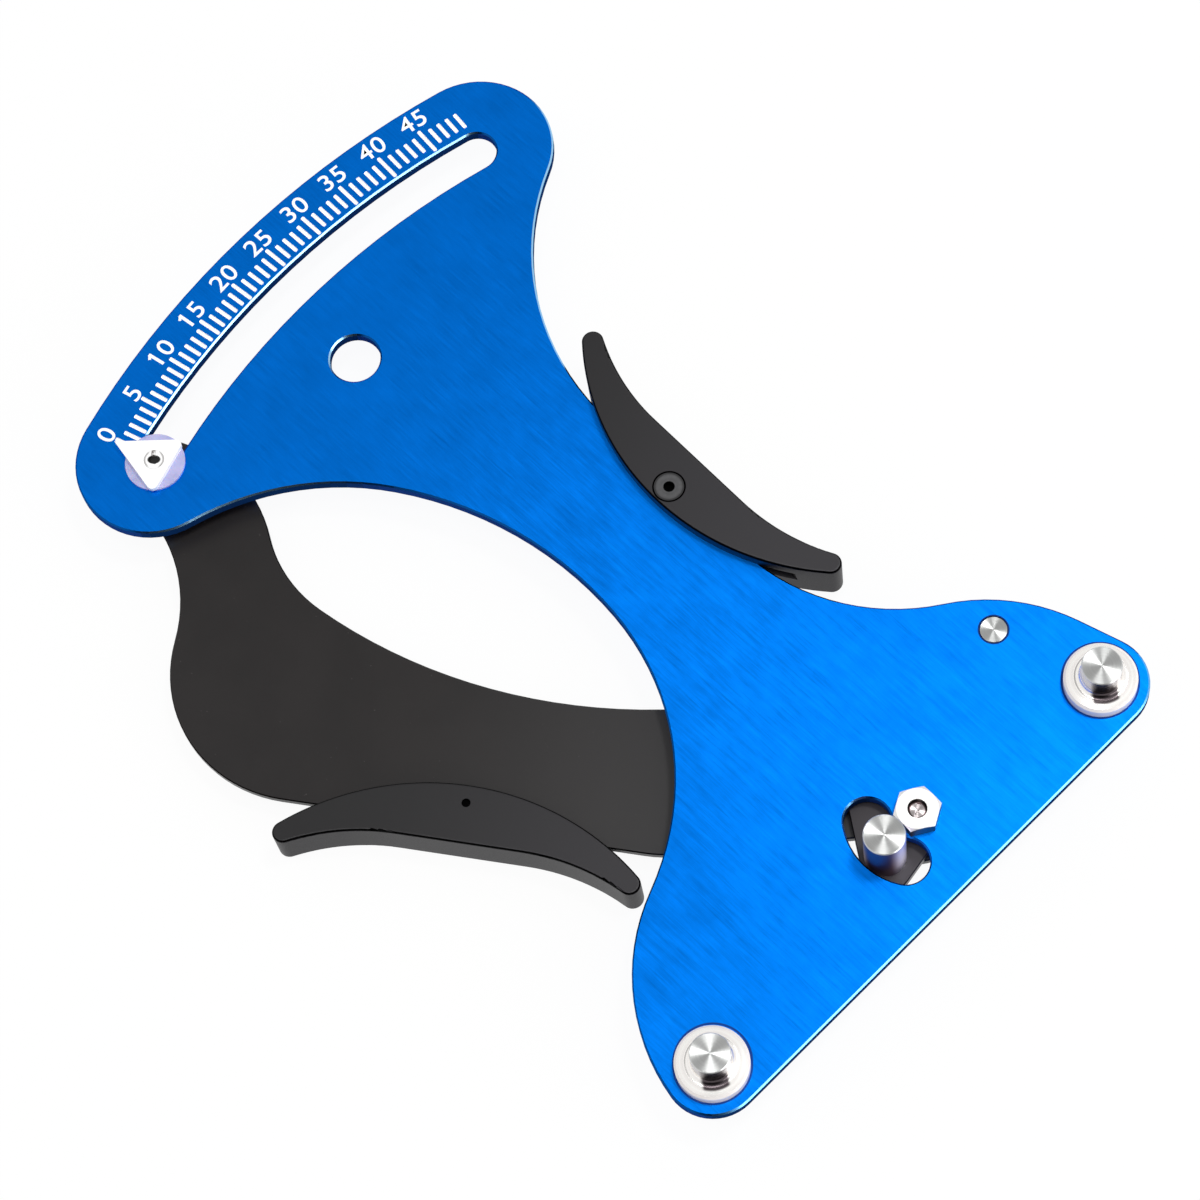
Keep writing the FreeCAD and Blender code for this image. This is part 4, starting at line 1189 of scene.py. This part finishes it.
@dataclass
class SpringSet(Assembly):
    """Spring that closes the lever, with its two pins and its clip."""

    eye_reach: float = 2.6 * MM      # from the hook pin's axis to the end of the eye round it
    leg_reach: float = 8.9 * MM      # from the hook pin's axis to the coil
    smooth_deg: float = 35.0         # faces that meet at less than this look as one

    def build(self) -> None:
        """Dress the spring's pieces."""
        for name in ("spring_anchor_pin", "spring_hook_pin"):
            self.tool.dress(TurnedSteel().material(f"{name}_steel", self.tool.centre(name)), name)
        wire = PlatedSteel(colour=(0.62, 0.61, 0.60), roughness=0.22).material("spring_wire")
        self.tool.dress(wire, "tension_spring", "spring_anchor_clip")
        spring = self.spring(wire)
        LOG.info("hung %s: %d faces", spring.name, len(spring.data.polygons))

    def spring(self, wire: bpy.types.Material) -> bpy.types.Object:
        """Stand in for the spring with a smoothed copy of its mesh, and hide the original.

        Args:
            wire: Material of its wire.

        Returns:
            The copy.
        """
        mesh = self.tool.nodes["tension_spring"].data.copy()
        spring = bpy.data.objects.new("hooked_spring", mesh)
        bpy.context.scene.collection.objects.link(spring)
        joined([spring], "hooked_spring", wire)
        bpy.ops.mesh.customdata_custom_splitnormals_clear()
        merge_corners()
        bpy.ops.object.shade_smooth_by_angle(angle=math.radians(self.smooth_deg))
        hook, anchor = self.tool.centre("spring_hook_pin"), self.tool.centre("spring_anchor_pin")
        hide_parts("tension_spring")
        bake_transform(spring)
        return spring


@dataclass
class Lever(Assembly):
    """Arm behind the plate with the post carrier and its rivets."""

    def build(self) -> None:
        """Dress the lever's plates."""
        self.tool.dress(CoatedSteel().material("arm_black_coat"), "lever_arm", "carrier_rivets")
        # painted light: the carrier is lighter than the arm, against the shade in the window
        lighter = CoatedSteel(worn=(0.045, 0.039, 0.046), at_posts=(0.038, 0.032, 0.039))
        self.tool.dress(lighter.material("carrier_black_coat"), "post_carrier")


@dataclass
class Grips(Assembly):
    """Crescent grips of the plate and of the arm with their screws."""

    def build(self) -> None:
        """Dress the grips and their screws."""
        worn = SocketHead(face=(0.064, 0.064, 0.067), edge=(0.014, 0.014, 0.015), socket_r=1.15 * MM)
        fresh = SocketHead(face=(0.008, 0.008, 0.008), edge=(0.008, 0.008, 0.008))
        plastic = Plastic.GRIP.value
        head = (self.tool.centre("body_grip_screw"), self.tool.half_width("body_grip_screw"))
        self.tool.dress(plastic.material("body_grip_moulding", head), "body_grip")
        self.tool.dress(worn.material("body_grip_screw_oxide", *head), "body_grip_screw")
        head = (self.tool.centre("arm_grip_screw"), self.tool.half_width("arm_grip_screw"))
        self.tool.dress(plastic.material("arm_grip_moulding"), "arm_grip")
        self.tool.dress(fresh.material("arm_grip_screw_oxide", *head), "arm_grip_screw")


@dataclass
class PointerSet(Assembly):
    """Pointer with its screw, washers, sleeve and nut."""

    def build(self) -> None:
        """Dress the pointer's pieces."""
        self.tool.dress(Paint(roughness=0.35).material("pointer_white"), "pointer")
        head = WhiteHead().material("pointer_screw_white", self.tool.centre("pointer_screw"))
        self.tool.dress(head, "pointer_screw")
        self.tool.dress(MilkyPlastic().material("washer_clear"), "pointer_washer")
        self.tool.dress(Plastic.NYLON.value.material("sleeve_nylon"), "pointer_sleeve")
        self.tool.dress(PlatedSteel().material("pointer_zinc"), "pointer_nut_washer", "pointer_nut")


# ---------------------------------------------------------------- studio
@dataclass
class Softbox:
    """One area lamp."""

    name: str
    place: Vector
    target: Vector
    size: tuple[float, float]
    watts: float

    def build(self) -> None:
        """Hang the lamp so that it faces its target."""
        data = bpy.data.lights.new(self.name, "AREA")
        data.shape = "RECTANGLE"
        data.size, data.size_y = self.size
        data.energy = self.watts
        lamp = bpy.data.objects.new(self.name, data)
        aim = (self.target - self.place).to_track_quat("-Z", "Y").to_matrix().to_4x4()
        lamp.matrix_world = Matrix.Translation(self.place) @ aim
        bpy.context.scene.collection.objects.link(lamp)


@dataclass(frozen=True)
class DarkSpot:
    """Round part of the world that is darker than the rest."""

    way: Vector
    edge: Span                       # cosines of its outer and inner edge
    depth: float                     # share of the world's light that it lacks


@dataclass
class Studio:
    """Floor, lamps, world and camera."""

    tool: ToolFrame
    lens: float = 115.48             # millimetres, and so is the sensor
    sensor: float = 36.0
    sight: float = 20.0
    camera_from_pivot: Vector = field(default_factory=lambda: Vector((-178.07, -176.85, 744.80)) * MM)
    aim_from_pivot: Vector = field(default_factory=lambda: Vector((-11.83, 80.32, 0.0)) * MM)
    image_up: Vector = field(default_factory=lambda: Vector((0.6724, 0.6404, 0.3712)))
    floor_size: float = 12.0
    floor_drop: float = 0.05 * MM
    floor_grey: float = 0.90
    floor_glow: float = 0.94         # share of pure white where the floor is seen
    lamp_height: float = 2.4
    surround: float = 0.88           # world's level all round
    dark_spots: tuple[DarkSpot, ...] = (
        DarkSpot(Vector((0.227, 0.225, 0.948)), (0.90, 0.955), 0.70),    # where the flat faces mirror
        DarkSpot(Vector((-0.60, -0.60, 0.53)), (0.82, 0.93), 0.97),      # behind the camera, low down
    )

    def build(self) -> None:
        """Set up everything round the tool."""
        bpy.context.scene.view_settings.view_transform = "Standard"
        self.make_camera()
        self.make_floor()
        self.make_world()
        middle = self.tool.pivot
        main = middle + Vector((0.353, -0.058, 1.0)) * self.lamp_height
        near = middle + Vector((-0.107, -0.041, 0.994)) * self.lamp_height
        low = middle + Vector((0.38, -1.17, 0.45))
        Softbox("softbox_main", main, middle, (0.40, 0.40), 14.0).build()
        Softbox("softbox_near", near, middle, (0.58, 0.58), 9.6).build()
        Softbox("low_strip", low, middle, (1.3, 0.50), 7.0).build()

    def make_camera(self) -> None:
        """Place the camera at its distance from the pivot."""
        place = self.tool.pivot + self.camera_from_pivot
        forward = (self.tool.pivot + self.aim_from_pivot - place).normalized()
        right = forward.cross(self.image_up).normalized()
        up = right.cross(forward)
        turn = Matrix((right, up, -forward)).transposed().to_4x4()
        data = bpy.data.cameras.new("camera")
        data.lens = self.lens
        data.sensor_width = self.sensor
        data.clip_end = self.sight
        camera = bpy.data.objects.new("camera", data)
        camera.matrix_world = Matrix.Translation(place) @ turn
        bpy.context.scene.collection.objects.link(camera)
        bpy.context.scene.camera = camera

    def make_floor(self) -> None:
        """Lay a white floor that keeps the tool's soft shadow and is clear from below."""
        deselect_all()
        bpy.ops.mesh.primitive_plane_add(size=self.floor_size, location=(0.0, 0.0, -self.floor_drop))
        floor = bpy.context.active_object
        floor.name = "floor"
        shader = Shader("floor_white")
        rays = shader.node("ShaderNodeLightPath")
        camera, glossy, through = rays.outputs("Is Camera Ray", "Is Glossy Ray", "Is Transmission Ray")
        grey = (self.floor_grey, self.floor_grey, self.floor_grey, 1.0)
        matt = shader.node("ShaderNodeBsdfDiffuse", {}, {"Color": grey})
        glow = shader.node("ShaderNodeEmission", {}, {"Color": (1.0, 1.0, 1.0, 1.0), "Strength": 1.0})
        seen = (camera + glossy + through) * self.floor_glow
        white = shader.node("ShaderNodeMixShader", {}, {0: seen, 1: matt, 2: glow})
        from_below = shader.node("ShaderNodeNewGeometry", out="Backfacing")
        clear = shader.node("ShaderNodeBsdfTransparent")
        one_sided = shader.node("ShaderNodeMixShader", {}, {0: from_below, 1: white, 2: clear})
        floor.data.materials.append(shader.finished(one_sided))

    def make_world(self) -> None:
        """Light the world evenly but for its dark spots, and white where the camera sees it."""
        world = bpy.data.worlds.new("studio")
        world.use_nodes = True
        bpy.context.scene.world = world
        graph = Graph(world.node_tree)
        direction = graph.node("ShaderNodeTexCoord", out="Generated")
        level: Value | float = self.surround
        for spot in self.dark_spots:
            towards = graph.dot(direction, spot.way.normalized())
            level = (1.0 - towards.ramp(*spot.edge) * spot.depth) * level
        seen = graph.node("ShaderNodeLightPath", out="Is Camera Ray")
        strength = level + (1.0 - level) * seen
        background = world.node_tree.nodes["Background"]
        background.inputs["Color"].default_value = (1.0, 1.0, 1.0, 1.0)
        world.node_tree.links.new(strength.socket, background.inputs["Strength"])


def main() -> None:
    """Build the looks of the tool and its studio, piece by piece."""
    logging.basicConfig(level=logging.INFO, format="%(message)s")
    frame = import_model()
    tool = ToolFrame.from_frame(frame)
    Studio(tool).build()
    for assembly in (BodyPlate, Posts, Pivot, SpringSet, Lever, Grips, PointerSet):
        LOG.info("building %s", assembly.__name__)
        assembly(tool).build()
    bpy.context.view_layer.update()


if __name__ == "__main__":
    main()
